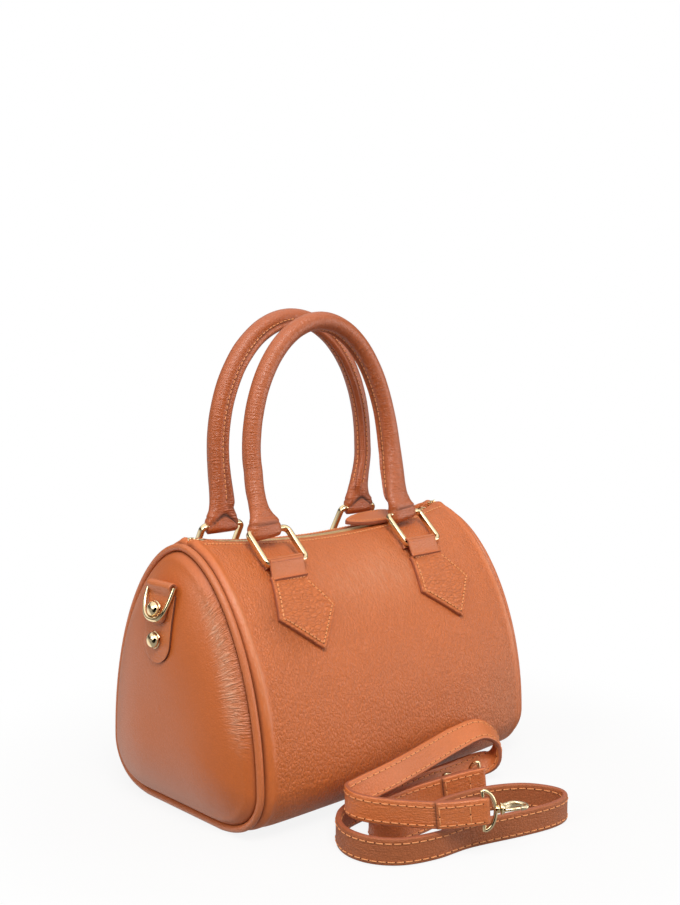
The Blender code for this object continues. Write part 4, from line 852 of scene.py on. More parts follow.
for tag, side in (("front", -1), ("back", 1)):
    outer = []
    under = []
    for k in range(TAPE_STATIONS):
        x = TAPE_LENGTH * (k / (TAPE_STATIONS - 1) - 0.5)
        high = tape_top(x)
        outer += [Vector((x, side * y, high + lift)) for y, lift in TAPE_PROFILE]
        under += [Vector((x, side * y, high - TAPE_THICKNESS)) for y, lift in TAPE_PROFILE]
    faces = sheet_faces(TAPE_STATIONS, len(TAPE_PROFILE))
    tape = new_piece("tape." + tag, outer + under, faces, tape_cloth, "bag")
    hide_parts("zip_tape_" + tag)
    points = []
    faces = []
    count = int((TEETH_LENGTH / 2 - STOP_LENGTH) / TOOTH_PITCH)
    for k in range(-count, count):
        middle = (k + 0.5 + 0.25 * side) * TOOTH_PITCH
        low = tape_top(middle) + TEETH_RISE - TOOTH_SINK
        faces += tube_faces(len(TOOTH_RINGS), len(TOOTH_SECTION), len(points))
        for reach, half, rise in TOOTH_RINGS:
            points += [Vector((middle + half * across, side * reach, low + rise * share))
                       for across, share in TOOTH_SECTION]
    teeth = new_piece("teeth." + tag, points, faces, lit_teeth_gold, "bag", sharp=radians(25))
    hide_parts("zip_teeth_" + tag)


def rounded_block(name, low, high, round_by, body):
    """A gilt block with rounded edges, as a mesh piece."""
    work = bmesh.new()
    bmesh.ops.create_cube(work, size=1.0)
    for corner in work.verts:
        corner.co = Vector([lerp(a, b, c + 0.5) for a, b, c in zip(low, high, corner.co)])
    bmesh.ops.bevel(work, geom=list(work.edges), offset=round_by, segments=3, profile=0.6, affect="EDGES")
    points = [v.co.copy() for v in work.verts]
    work.verts.index_update()
    faces = [[v.index for v in face.verts] for face in work.faces]
    work.free()
    return new_piece(name, points, faces, pale_gold, body, sharp=radians(60))


for tag in SIDES:
    low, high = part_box("zip_stop_" + tag)
    low.z += TEETH_RISE / 2
    high.z += TEETH_RISE
    stop = rounded_block("stop." + tag, low, high, 0.0008, "bag")
    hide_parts("zip_stop_" + tag)

for tag, side in SIDES.items():
    for k, (x, y) in enumerate(END_BIT_PLACES):
        middle = Vector((side * x, y, wrap_point(side * x, slot_angle(x)).z))
        rounded_block("zip_end_%s.%d" % (tag, k), middle - END_BIT_BELOW, middle + END_BIT_ABOVE, 0.0003,
                      "bag")


def sweep(path, section, up, closed=False):
    """Points of a section carried along a path; section(i) lists (side, up) pairs at step i."""
    points = []
    count = len(path)
    for i in range(count):
        ahead = path[(i + 1) % count] if closed or i + 1 < count else path[i]
        behind = path[i - 1] if closed or i > 0 else path[i]
        along = (ahead - behind).normalized()
        side = along.cross(up).normalized()
        above = side.cross(along).normalized()
        points += [path[i] + side * s + above * u for s, u in section(i)]
    return points


def signed_power(value, power):
    """A power of a value that keeps its sign."""
    return abs(value) ** power * (1 if value > 0 else -1)


def round_section(half_width, half_depth, sides, power=1.0):
    """An oval section, squarer for a power below 1."""
    pairs = []
    for k in range(sides):
        turn = 2 * pi * (k + 0.5) / sides
        pairs.append((half_width * signed_power(cos(turn), power),
                      half_depth * signed_power(sin(turn), power)))
    return pairs


def bar_piece(name, path, section, up, finish, body, closed=False):
    """A solid metal bar or ring from a path and its sections."""
    points = sweep(path, section, up, closed)
    sides = len(section(0))
    faces = grid_faces(len(path), sides, 0, True, True) if closed else tube_faces(len(path), sides)
    return new_piece(name, points, faces, finish, body)


def rectangle_path(origin, across, along, width, height, corner, steps=7):
    """A rectangle with round corners, standing on the middle of its lower bar."""
    path = []
    for cx, cy, start in ((1, 0, 3), (1, 1, 0), (-1, 1, 1), (-1, 0, 2)):
        x = cx * (width / 2 - corner)
        y = height - corner if cy else corner
        for k in range(steps + 1):
            turn = (start + k / steps) * pi / 2
            path.append(origin + across * (x + corner * cos(turn)) + along * (y + corner * sin(turn)))
    return path


BAIL = Vector((0.094, 0.0, 0.183473))
BAIL_PLACES = ((-0.0048, -0.0016), (-0.0046, 0.0006), (-0.003, 0.0022), (0.0, 0.0028), (0.003, 0.0022),
               (0.0046, 0.0006), (0.0048, -0.0016))
SLIDER_PLATE = 0.0024
LINK_WIDTH = 0.0085
LINK_LENGTH = 0.0115
LINK_CORNER = 0.0025
LINK_WIRE = 0.0008
LEAF_DROOP = radians(1.5)
low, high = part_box("zip_slider")
plate_top = Vector((high.x, high.y, low.z + SLIDER_PLATE))
plate = rounded_block("slider_plate", low, plate_top, 0.0007, "zip_slider")
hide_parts("zip_slider")
bail_path = [BAIL + Vector((a, 0.0, b)) for a, b in BAIL_PLACES]
bar_piece("slider_bail", bail_path, lambda i: round_section(0.0006, 0.0013, 12, 0.7), ACROSS_BAG, pale_gold,
          "zip_slider")
leaf_way = Vector((-cos(LEAF_DROOP), 0, -sin(LEAF_DROOP)))
link_path = rectangle_path(BAIL, ACROSS_BAG, leaf_way, LINK_WIDTH, LINK_LENGTH, LINK_CORNER)
link = bar_piece("pull_link", link_path, lambda i: round_section(LINK_WIRE, LINK_WIRE, 10),
                 ACROSS_BAG.cross(leaf_way), pale_gold, "zip_link", True)
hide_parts("zip_pull_link")

strip_leather = leather("smooth strip leather", (0.60, 0.16, 0.041), (0.36, 0.08, 0.022), pebble=0.0016,
                        relief=0.00012, roughness=0.36, spacing=0.0016, length=0.008, crease=0.0003,
                        tone=0.05, stain=0.12)
edge_paint = plain_material("painted leather edge", (0.36, 0.105, 0.05), 0.5, mottle=0.16, scale=700.0,
                            relief=0.00012)


def arc(middle, lift, radius, degrees):
    """Points on a circle at some turns."""
    return [(middle + radius * cos(radians(a)), lift + radius * sin(radians(a))) for a in degrees]


def strip_section(half, thick, bend, columns):
    """Section of a leather strip, once round from its left top, as (across, lift) pairs."""
    bend = min(bend, half * 0.9)
    flat = half - bend
    loop = [(lerp(-flat, flat, k / columns), thick) for k in range(columns + 1)]
    loop += arc(flat, thick - bend, bend, (60, 30, 0)) + arc(flat, bend, bend, (0, -30, -60, -90))
    loop += [(lerp(flat, -flat, k / columns), 0.0) for k in range(1, columns + 1)]
    return loop + arc(-flat, bend, bend, (-120, -150, -180)) + arc(-flat, thick - bend, bend, (180, 150, 120))


def strip(name, stations, thick, finishes, body, bend, columns, crease_wear_and_shade=0.35, lengthwise=False):
    """A leather strip with rounded, painted edges. A station is a half width and a function that
    turns a distance across and a lift into a point. The creases run across it or lengthwise."""
    points = []
    run = []
    gap = []
    reaches = path_reach([place(0.0, thick) for half, place in stations])
    for (half, place), reach in zip(stations, reaches):
        for across, lift in strip_section(half, thick, bend, columns):
            points.append(place(across, lift))
            run.append(across if lengthwise else reach)
            gap.append(reach if lengthwise else across)
    sides = len(points) // len(stations)
    painted = [1 if columns + 2 <= j < columns + 5 or sides - 5 <= j < sides - 2 else 0 for j in range(sides)]
    indices = painted * (len(stations) - 1) + [1, 1]
    made = new_piece(name, points, tube_faces(len(stations), sides), finishes, body, indices,
                     radians(50))
    mark(made, run=run, gap=gap, worn=[crease_wear_and_shade] * len(points))
    return made


def flat_place(base, sideways, above):
    """A station place on a plane through a point."""
    return lambda across, lift: base + sideways * across + above * lift


def surface_spot(place, across, thick):
    """A point on the upper face of a station, with its outward direction."""
    point = place(across, thick)
    return point, (place(across, thick + 0.001) - point).normalized()


def edge_line(stations, thick, inset, side, first, last):
    """A stitch line that far inside one edge of a strip, on its upper face."""
    chosen = stations[first:last]
    line = []
    for k, (half, place) in enumerate(chosen):
        other = chosen[min(k + 1, len(chosen) - 1)]
        back = chosen[max(k - 1, 0)]
        along = (other[1](0.0, thick) - back[1](0.0, thick)).length
        slope = abs(other[0] - back[0]) / max(along, 1e-6)
        across = side * max(half - inset * sqrt(1 + slope ** 2), 0.0)
        line.append(surface_spot(place, across, thick))
    return line


def table_value(table, at):
    """A value between the rows of a table of (place, value) pairs, with even slopes."""
    for (a, va), (b, vb) in zip(table, table[1:]):
        if at <= b:
            return lerp(va, vb, (at - a) / (b - a))
    return table[-1][1]


LEAF_START = BAIL + leaf_way * (LINK_LENGTH - 0.0022)
LEAF_LENGTH = 0.0622
LEAF_THICKNESS = 0.0034
LEAF_ROLL = radians(13.0)
LEAF_ARCH = -0.0001
LEAF_ARCH_LENGTH = 0.062
LEAF_SHAPE = (
    (0.0, 0.0028), (0.004, 0.0028), (0.0065, 0.0045), (0.0085, 0.0066), (0.013, 0.0088), (0.021, 0.0097),
    (0.032, 0.0098), (0.043, 0.009), (0.051, 0.0072), (0.0575, 0.0045), (0.061, 0.0022),
    (LEAF_LENGTH, 0.0009),
)


def leaf_station(reach):
    """A station of the pull that far along it."""
    up = Vector((-sin(LEAF_DROOP), 0, cos(LEAF_DROOP)))
    arch = LEAF_ARCH * sin(pi * min(reach / LEAF_ARCH_LENGTH, 1.0))
    roll = LEAF_ROLL * smooth(0.002, 0.02, reach)
    base = LEAF_START + leaf_way * reach + up * (arch - LEAF_THICKNESS / 2)
    sideways = ACROSS_BAG * cos(roll) + up * sin(roll)
    return table_value(LEAF_SHAPE, reach), flat_place(base, sideways, up * cos(roll) - ACROSS_BAG * sin(roll))


leaf_stations = [leaf_station(LEAF_LENGTH * k / 60) for k in range(61)]
leaf = strip("pull_leaf", leaf_stations, LEAF_THICKNESS, [strip_leather, edge_paint], "zip_leaf", 0.0009, 8,
             0.2)
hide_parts("zip_pull_leaf")
leaf_lines = [edge_line(leaf_stations, LEAF_THICKNESS, 0.0022, s, 9, 57) for s in (-1, 1)]
sew("pull_leaf_stitches", leaf_lines, "zip_leaf", 0.0029, 0.0003)

# Handle rings
# Four rectangular rings of deep flat bar, polished and plated, leaning in over the zip.
RING_WIDTH = 0.0352
RING_HEIGHT = 0.0285
RING_WIRE = 0.0018
RING_DEPTH = 0.0025
RING_CORNER = 0.0038
RING_X = {"left": -0.069, "right": 0.0672}
RING_FEET = {"front": Vector((0, -0.038113, 0.168632)), "back": Vector((0, 0.045985, 0.161562))}
RING_TOPS = {"front": Vector((0, -0.017101, 0.187886)), "back": Vector((0, 0.032168, 0.186489))}
RING_SHIFTS = {("front", "left"): Vector((0, 0, 0)), ("front", "right"): Vector((-0.001, -0.0006, -0.0022)),
               ("back", "left"): Vector((0, 0, 0)), ("back", "right"): Vector((0, 0, 0))}
for tag in RING_FEET:
    upward = (RING_TOPS[tag] - RING_FEET[tag]).normalized()
    for end in SIDES:
        foot = RING_FEET[tag] + RING_SHIFTS[tag, end] + Vector((RING_X[end], 0, 0))
        path = rectangle_path(foot, ALONG_BAG, upward, RING_WIDTH, RING_HEIGHT, RING_CORNER, 8)
        ring = bar_piece("ring_%s.%s" % (tag, end), path,
                         lambda i: round_section(RING_WIRE, RING_DEPTH, 18, 0.7), ALONG_BAG.cross(upward),
                         pale_gold, tag + "_rings", True)
        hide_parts("ring_%s_%s" % (tag, end))

# Chapes
# An arrow-shaped patch of the same hide sewn to the wrap under each ring, and on it the
# stitched-down end of the leather loop that runs up over the ring's lower bar.
PATCH_THICKNESS = 0.0036
LOOP_THICKNESS = 0.0019
PATCH_HALF = 0.02625
PATCH_TIP_HALF = 0.0012
PATCH_BEND = 0.0013
PATCH_SINK = 0.0003
PATCH_GROOVE = 0.0006
PATCH_PRESSED = 0.0003
PATCH_SEAM_INSET = 0.0031
PATCH_TIP = radians(54.2)
PATCH_NECK = radians(31.0)
PATCH_TOP = radians(29.6)
PATCH_STEPS = (16, 12, 3)
# Angle of the shoulder, skew, and how far the tip lies to the right.
PATCH_SHAPES = {("front", "left"): (radians(42.7), radians(1.7), 0.003),
                ("front", "right"): (radians(42.8), radians(0.3), 0.0022),
                ("back", "left"): (radians(43.0), 0.0, 0.0), ("back", "right"): (radians(43.0), 0.0, 0.0)}
BACK_SHIFT = radians(5.0)
LOOP_HALF = 0.0150
LOOP_SEAM_HALF = LOOP_HALF - 0.0018
LOOP_SHIFTS = {"left": -0.0024, "right": -0.0040}
LOOP_ANGLES = (radians(30.6), radians(29.4))
LOOP_TURNS = [radians(turn) for turn in range(135, -61, -15)]
LOOP_FULL = 0.0009
NECK_HALF = LOOP_HALF + 0.001
patch_leather = leather("patch leather", (0.63, 0.156, 0.029), DEEP_TAN, pebble=0.0026, relief=0.0011,
                        roughness=0.43, spacing=0.002, length=0.01, crease=0.0003, narrow=0.6, stain=0.22)


def curve_through(places, steps):
    """A smooth curve through points, with so many steps between each two."""
    line = []
    for b, c, i in zip(places, places[1:], range(len(places))):
        a = places[max(i - 1, 0)]
        d = places[min(i + 2, len(places) - 1)]
        for share in [k / steps for k in range(steps)]:
            line.append((b * 2 + (c - a) * share + (a * 2 - b * 5 + c * 4 - d) * share ** 2
                         + (b * 3 - a - c * 3 + d) * share ** 3) / 2)
    return line + [places[-1]]


def on_wrap(x, angle, front, lift_from, skew=0.0):
    """A station place that follows the wrap's surface on its front, or mirrored on its back."""
    def place(across, lift):
        """The point that far across and that far above the wrap."""
        point = wrap_point(x + across, angle - skew * across / PATCH_HALF, lift_from + lift)
        return point if front else Vector((point.x, -point.y, point.z))
    return place


def patch_station(angle, x, half, skew, front):
    """A station of a patch: its seam is pulled down and its rim stands up round it."""
    place = on_wrap(x, angle, front, -PATCH_SINK, skew)

    def pressed(across, lift):
        """The place with the seam's groove pressed into the upper face."""
        inside = half - PATCH_SEAM_INSET - abs(across)
        sunk = bell(inside, 0.0, 0.0009) * PATCH_GROOVE + smooth(0.0, 0.0015, inside) * PATCH_PRESSED
        return place(across, lift - (sunk if lift > PATCH_THICKNESS / 2 else 0.0))
    return half, pressed


for tag in RING_FEET:
    front = tag == "front"
    shift = 0.0 if front else BACK_SHIFT
    out_way = -1 if front else 1
    for end in SIDES:
        shoulder, skew, tip_shift = PATCH_SHAPES[tag, end]
        x = RING_X[end] + LOOP_SHIFTS[end]
        corners = ((PATCH_TIP, RING_X[end] + tip_shift, PATCH_TIP_HALF, skew),
                   (shoulder, RING_X[end], PATCH_HALF, skew), (PATCH_NECK, x, NECK_HALF, 0.0),
                   (PATCH_TOP, x, NECK_HALF, 0.0))
        rows = [corners[0]]
        for low, high, steps in zip(corners, corners[1:], PATCH_STEPS):
            rows += [[lerp(a, b, k / steps) for a, b in zip(low, high)] for k in range(1, steps + 1)]
        stations = [patch_station(angle + shift, *place, front) for angle, *place in rows]
        patch = strip("chape_%s.%s" % (tag, end), stations, PATCH_THICKNESS, [patch_leather, edge_paint],
                      "bag", PATCH_BEND, 40)
        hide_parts("chape_%s_%s" % (tag, end))
        foot = RING_FEET[tag] + RING_SHIFTS[tag, end] + Vector((x, 0, 0))
        radius = RING_DEPTH + FIT + LOOP_THICKNESS / 2
        middle_line = [on_wrap(x, angle + shift, front, 0.0)(0.0, PATCH_THICKNESS + 0.0004)
                       for angle in LOOP_ANGLES]
        middle_line += [foot + Vector((0, -out_way * radius * cos(a), radius * sin(a))) for a in LOOP_TURNS]
        middle_line = curve_through(middle_line, 4)
        loop_stations = []
        for k, point in enumerate(middle_line):
            ahead = (middle_line[min(k + 1, len(middle_line) - 1)] - middle_line[max(k - 1, 0)]).normalized()
            normal = ALONG_BAG.cross(ahead) * out_way
            full = LOOP_FULL * sin(pi * min(k / 14, 1.0))
            base = point - normal * (LOOP_THICKNESS / 2 - full)
            loop_stations.append((LOOP_HALF, flat_place(base, ALONG_BAG, normal)))
        strip("loop_%s.%s" % (tag, end), loop_stations, LOOP_THICKNESS, [strip_leather, edge_paint], "bag",
              0.0009, 8, 0.5)
        seams = [edge_line(stations, PATCH_THICKNESS, PATCH_SEAM_INSET, s, 2, 28) for s in (-1, 1)]
        low_edge = loop_stations[1][1]
        seams.append([surface_spot(low_edge, lerp(-LOOP_SEAM_HALF, LOOP_SEAM_HALF, k / 20), LOOP_THICKNESS)
                      for k in range(21)])
        sew("chape_stitches_%s.%s" % (tag, end), seams, "bag")

# Handles
# Leather rolled round a cord, its two edges sewn together in a welt on the inner side. Each end is
# flattened and folded round a ring's upper bar, with a crease and a small opening above the fold.
HANDLE_RADIUS = 0.0066
# Half span, rise of the straight legs, rise of the crown, and the crown's y.
HANDLE_SHAPES = {"front": (0.070, 0.0421, 0.1505, 0.0054), "back": (0.0737, 0.0515, 0.1549, 0.037)}
HANDLE_LEAN_BLEND = 0.065
HANDLE_SHIFT = 0.0026
LEAN_ROUND = 0.06
ARCH_STEPS = 100
FOOT_RISE = 0.026
FOOT_RADIUS = 0.0052
FOOT_DROP = 0.006
CREASE = 0.0108
WELT_HEIGHT = 0.0029
WELT_HALF = 0.0021
WELT_SPREAD = radians(34)
WELT_WAYS = {"front": radians(135.0), "back": radians(225.0)}
TUBE_TURNS = [0, 4, 8, 11, 14, 17, 21, 26, 33] + list(range(40, 321, 8))
TUBE_TURNS += [327, 334, 339, 343, 346, 349, 352, 356]
LEG_STEPS = [0.0, 0.0003, 0.0008, 0.0015, 0.0024, 0.0034, 0.0046, 0.0056]
LEG_STEPS += [0.0063 + 0.0007 * k for k in range(11)]
LEG_STEPS += [0.0143, 0.0155, 0.0168, 0.0185, 0.0205, 0.023, 0.026] + [0.029 + 0.003 * k for k in range(60)]
# How far each leg bows in x, its half width and its half depth, against the distance from its foot.
FOOT_BOWS = {
    ("front", "left"): ((0.0, -0.0022), (0.012, -0.0032), (0.02, -0.0034), (0.032, -0.0022), (0.045, 0.0)),
    ("front", "right"): ((0.0, -0.0008), (0.012, -0.0026), (0.02, -0.0026), (0.032, -0.0008), (0.045, 0.0)),
    ("back", "left"): ((0.0, -0.0012), (0.012, -0.0012), (0.045, 0.0)),
    ("back", "right"): ((0.0, 0.0), (0.045, 0.0)),
}
FOOT_WIDTHS = {
    ("front", "left"): ((0.0, 0.0122), (0.003, 0.0132), (0.0052, 0.0135), (0.0075, 0.0133), (0.0105, 0.0125),
                        (0.0136, 0.0116), (0.0165, 0.0099), (0.0204, 0.0082), (0.0285, 0.0069),
                        (0.05, 0.0066)),
    ("front", "right"): ((0.0, 0.0114), (0.003, 0.0123), (0.0052, 0.0126), (0.0075, 0.0126), (0.0105, 0.0123),
                         (0.014, 0.0119), (0.0208, 0.0112), (0.029, 0.0102), (0.040, 0.0092), (0.055, 0.0082),
                         (0.074, 0.0073), (0.094, 0.0066)),
    ("back", "left"): ((0.0, 0.0124), (0.003, 0.0134), (0.0052, 0.0137), (0.009, 0.0133), (0.0125, 0.0123),
                       (0.017, 0.0107), (0.024, 0.0090), (0.034, 0.0075), (0.05, 0.0066)),
    ("back", "right"): ((0.0, 0.0124), (0.003, 0.0134), (0.0052, 0.0137), (0.009, 0.0137), (0.0125, 0.0130),
                        (0.017, 0.0112), (0.024, 0.0088), (0.034, 0.0074), (0.045, 0.0066)),
}
FOOT_DEPTHS = ((0.0052, 0.0050), (0.0085, 0.0047), (0.0135, 0.0046), (0.0165, 0.0052), (0.03, 0.006),
               (0.045, 0.0066))
handle_leather = leather("rolled handle leather", (0.47, 0.107, 0.022), (0.26, 0.055, 0.015), pebble=0.0015,
                         relief=0.00012, roughness=0.32, spacing=0.0017, length=0.013, crease=0.00045,
                         tone=0.05, stain=0.14)

for tag in RING_FEET:
    half_span, straight_rise, crown_rise, crown_y = HANDLE_SHAPES[tag]
    facing = 1 if tag == "front" else -1
    bar = RING_TOPS[tag]
    start_z = bar.z + FOOT_DROP
    straight = bar.z + straight_rise
    crown = bar.z + crown_rise - HANDLE_RADIUS

    def lean(z):
        """The handle's y at a height: it leans in from the rings and is upright at its crown."""
        low_rise = (z - start_z) / HANDLE_LEAN_BLEND
        first = (straight - start_z) / HANDLE_LEAN_BLEND
        high_rise = first + (1 - first) * (z - straight) / (crown - straight)
        share = -LEAN_ROUND * log(exp(-low_rise / LEAN_ROUND) + exp(-high_rise / LEAN_ROUND))
        return crown_y + (bar.y - crown_y) * (1 - min(max(share, 0.0), 1.0)) ** 2

    legs = {}
    for end, side in SIDES.items():
        legs[end] = []
        for near in LEG_STEPS:
            z = bar.z - FOOT_DROP + near
            if z < straight - 0.001:
                spread = smooth(0.0, FOOT_RISE * 1.5, z - start_z)
                bowed = table_value(FOOT_BOWS[tag, end], near) + HANDLE_SHIFT * smooth(0.0, 0.05, near)
                low_by = RING_SHIFTS[tag, end].z * (1 - smooth(0.012, 0.045, near))
                x = lerp(RING_X[end], side * half_span, spread) + bowed
                legs[end].append(Vector((x, lean(z), z + low_by)))
    path = legs["left"]
    for k in range(ARCH_STEPS + 1):
        turn = pi * k / ARCH_STEPS
        z = lerp(straight, crown, sin(turn))
        path.append(Vector((HANDLE_SHIFT - half_span * cos(turn), lean(z), z)))
    path += reversed(legs["right"])
    reach = path_reach(path)
    total = reach[-1]
    welt_way = WELT_WAYS[tag]
    marks = {}

    def tube_section(i):
        """The handle's section: flat round the ring's bar, then a round tube with a welt."""
        from_left = reach[i]
        near = min(from_left, total - from_left)
        end = "left" if from_left < total / 2 else "right"
        crease = bell(near, CREASE, 0.0006)
        wide = table_value(FOOT_WIDTHS[tag, end], near) - 0.0002 * crease
        deep = table_value(FOOT_DEPTHS, max(near, FOOT_RADIUS))
        if near < FOOT_RADIUS:
            deep = max(sqrt(FOOT_RADIUS ** 2 - (FOOT_RADIUS - near) ** 2), 0.0004)
        power = lerp(4.5, 2.0, smooth(0.008, 0.017, near))
        welt = WELT_HEIGHT * smooth(0.013, 0.022, near)
        swell = 1 + 0.02 * noise.noise(Vector((from_left * 70, 2.0, facing * 3.0)))
        swell = lerp(1.0, swell, smooth(0.012, 0.03, near))
        curl = band(from_left / total, 0.3, 0.5, 0.66, 0.85)
        low = band(near, 0.008, 0.016, 0.03, 0.09)
        pairs = []
        for turn in TUBE_TURNS:
            off = radians(turn if turn < 180 else turn - 360)
            a = welt_way + off
            r = (abs(cos(a) / wide) ** power + abs(sin(a) / deep) ** power) ** (-1 / power)
            inner = smooth(0.05, 0.5, sin(a) * facing)
            mouth = CREASE + 0.0018 - 0.0075 * min(abs(r * cos(a)) / wide, 1.0) ** 1.7
            opening = bell(near, mouth, 0.0013) * inner
            creased = crease * (1 - inner) * (1 - smooth(0.8, 1.0, abs(cos(a))) * 0.7)
            r *= (1 - 0.09 * creased - 0.2 * opening) * swell
            if abs(off) < WELT_SPREAD and welt > 0:
                side_limit = WELT_HALF / max(abs(sin(off)), 0.001)
                r = max(r, min(r + welt * (1 - 0.12 * (off / radians(14)) ** 2), side_limit))
            pairs.append((r * cos(a), r * sin(a)))
            # Painted shade in the opening above the fold, in the crease and along both sides of the welt.
            seam = bell(abs(off), radians(19), radians(3)) * (1 if welt > 0.001 else 0)
            note(marks, run=from_left, gap=abs(off) * HANDLE_RADIUS,
                 worn=0.45 + 0.3 * low + 0.55 * max(cos(a - pi), 0.0) * curl,
                 dark=min(max(opening, 0.75 * creased, 0.4 * seam), 1.0))
        return pairs

    points = sweep(path, tube_section, ACROSS_BAG)
    sides = len(TUBE_TURNS)
    faces = tube_faces(len(path), sides)
    tube = new_piece("handle_" + tag, points, faces, handle_leather, tag + "_handle",
                     sharp=radians(60))
    mark(tube, **marks)
    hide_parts("handle_cover_" + tag, "handle_core_" + tag)
    welt_lines = []
    for pick, off in ((TUBE_TURNS.index(33), 30.0), (TUBE_TURNS.index(327), -30.0)):
        a = welt_way + radians(off)
        line = []
        for i in range(24, len(path) - 24, 2):
            along = (path[i + 1] - path[i - 1]).normalized()
            side_way = along.cross(ACROSS_BAG).normalized()
            above = side_way.cross(along).normalized()
            line.append((points[i * sides + pick], (side_way * cos(a) + above * sin(a)).normalized()))
        welt_lines.append(line)
    sew("welt_stitches_" + tag, welt_lines, tag + "_handle", 0.0038, 0.0004)

# Side tabs
# A round-ended strip on each end panel, folded at its top over the side ring's straight bar and
# held by two ball studs, each clamped by a cap inside the bag.
TAB_HALF = 0.014
FOLD_HALF = 0.0128
TAB_TOP = 0.1575
TAB_BOTTOM = 0.1075
FLAP_BOTTOM = 0.134
TAB_LEATHER = 0.0018
DEE_WIRE = 0.0014
DEE_WIDTH = 0.027
DEE_DROP = 0.0225
DEE_LEAN = 0.4424
DEE_X = 0.144957
DEE_SKEW = 0.002
TURN_Z = TAB_TOP - DEE_WIRE - TAB_LEATHER * 1.5
TAB_SHAPE = ((0.128, TAB_HALF), (0.136, TAB_HALF), (0.142, 0.0139), (0.147, 0.0136), (TURN_Z - 0.001, 0.0131))
FLAP_SHAPE = ((TURN_Z, FOLD_HALF), (0.151, 0.0124), (0.1485, 0.0115), (0.146, 0.0104), (0.143, 0.0097),
              (0.138, 0.0092), (0.1355, 0.0078), (FLAP_BOTTOM, 0.0052))
STUD_HEAD = 0.0053
STUD_RISE = 0.0041
STUD_COLLAR = 0.0012
STUD_PROFILE = [(-0.006, 0.0), (-0.006, 0.0012), (0.0, 0.0012), (0.0, 0.0053), (0.0003, 0.0057),
                (0.0007, 0.0055), (0.0009, 0.0051)]
STUD_PROFILE += [(STUD_COLLAR + STUD_RISE * sin(radians(a)), STUD_HEAD * cos(radians(a)))
                 for a in range(-4, 90, 7)]
STUD_PROFILE += [(STUD_COLLAR + STUD_RISE, 0.0)]
tab_leather = leather("side tab leather", (0.59, 0.158, 0.04), (0.35, 0.08, 0.02), pebble=0.0014,
                      relief=0.0001, roughness=0.36, spacing=0.0018, length=0.008, crease=0.0003, tone=0.05)
# The tab's cut edges: edge paint darkened to near black, painted shadow for the gap round the tab.
tab_edge_paint_and_shade = plain_material("tab edge paint and painted shade", (0.14, 0.036, 0.014), 0.7, mottle=0.3, scale=1500.0,
                              relief=0.0002)


def turned_piece(name, base, along, profile, sides, body, sharp):
    """A turned gilt piece from (reach, radius) pairs that start and end on its axis."""
    along = along.normalized()
    side = along.orthogonal().normalized()
    points = [base + along * profile[0][0]]
    for reach, radius in profile[1:-1]:
        points += ring_points(base + along * reach, side, along.cross(side), radius, radius, sides)
    points.append(base + along * profile[-1][0])
    rings = len(profile) - 2
    faces = grid_faces(rings, sides, 1, False, True)
    last = 1 + (rings - 1) * sides
    for k in range(sides):
        faces.append((0, 1 + k, 1 + (k + 1) % sides))
        faces.append((len(points) - 1, last + k, last + (k + 1) % sides))
    return new_piece(name, points, faces, pale_gold, body, sharp=sharp)


def on_panel(side, z, lift_from):
    """A station place on an end panel at a height."""
    return lambda across, lift: Vector((panel_x(side, across * 0.6, z, lift_from + lift), across, z))


for tag, side in SIDES.items():
    tab_stations = []
    for k in range(13):
        turn = pi / 2 * k / 12
        z = TAB_BOTTOM + TAB_HALF * (1 - cos(turn))
        tab_stations.append((max(TAB_HALF * sin(turn), 0.0015), on_panel(side, z, 0.0001)))
    tab_stations += [(half, on_panel(side, z, 0.0001)) for z, half in TAB_SHAPE]
    lower = strip("side_tab." + tag, tab_stations, TAB_LEATHER, [tab_leather, tab_edge_paint_and_shade], "bag", 0.0004,
                  12, 0.3)
    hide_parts("side_tab_" + tag)
    centre = Vector((side * DEE_X, 0, TAB_TOP))
    fold_stations = []
    for a in [radians(turn) for turn in range(180, -1, -20)]:
        normal = Vector((side * cos(a), 0, sin(a)))
        fold_stations.append((FOLD_HALF, flat_place(centre + normal * (DEE_WIRE + FIT), ACROSS_BAG, normal)))
    fold_stations += [(half, on_panel(side, z, TAB_LEATHER + FIT * 2)) for z, half in FLAP_SHAPE]
    strip("side_fold." + tag, fold_stations, TAB_LEATHER, [tab_leather, edge_paint], "bag", 0.0006, 10, 0.3)
    down = Vector((side * sin(DEE_LEAN), 0, -cos(DEE_LEAN)))
    path = [centre + ACROSS_BAG * (DEE_WIDTH / 2 * s) for s in (-0.9, -0.45, 0.0, 0.45, 0.9)]
    for k in range(37):
        c = cos(pi * k / 36)
        s = sin(pi * k / 36)
        across = DEE_WIDTH / 2 * signed_power(c, 0.75) - DEE_SKEW * s ** 2
        path.append(centre + ACROSS_BAG * across + down * (DEE_DROP * s ** 0.85))
    dee = bar_piece("side_ring." + tag, path, lambda i: round_section(DEE_WIRE, DEE_WIRE, 14),
                    ACROSS_BAG.cross(down), pale_gold, "side_ring_" + tag, True)
    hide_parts("dee_ring_" + tag)
    for level, z, layers in (("upper", 0.142, 2), ("lower", 0.1225, 1)):
        slope = abs(panel_x(side, 0, z + 0.002)) - abs(panel_x(side, 0, z - 0.002))
        axis = Vector((side, 0, -slope / 0.004)).normalized()
        seat = (TAB_LEATHER + FIT * 2) * layers
        base = Vector((panel_x(side, 0, z, FIT * 2), 0, z)) + axis * seat
        stud = turned_piece("ball_stud_%s.%s" % (level, tag), base, axis, STUD_PROFILE, 32, "bag",
                            radians(40))
        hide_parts("stud_%s_%s" % (level, tag))
        coat("stud_cap_%s_%s" % (level, tag), pale_gold)

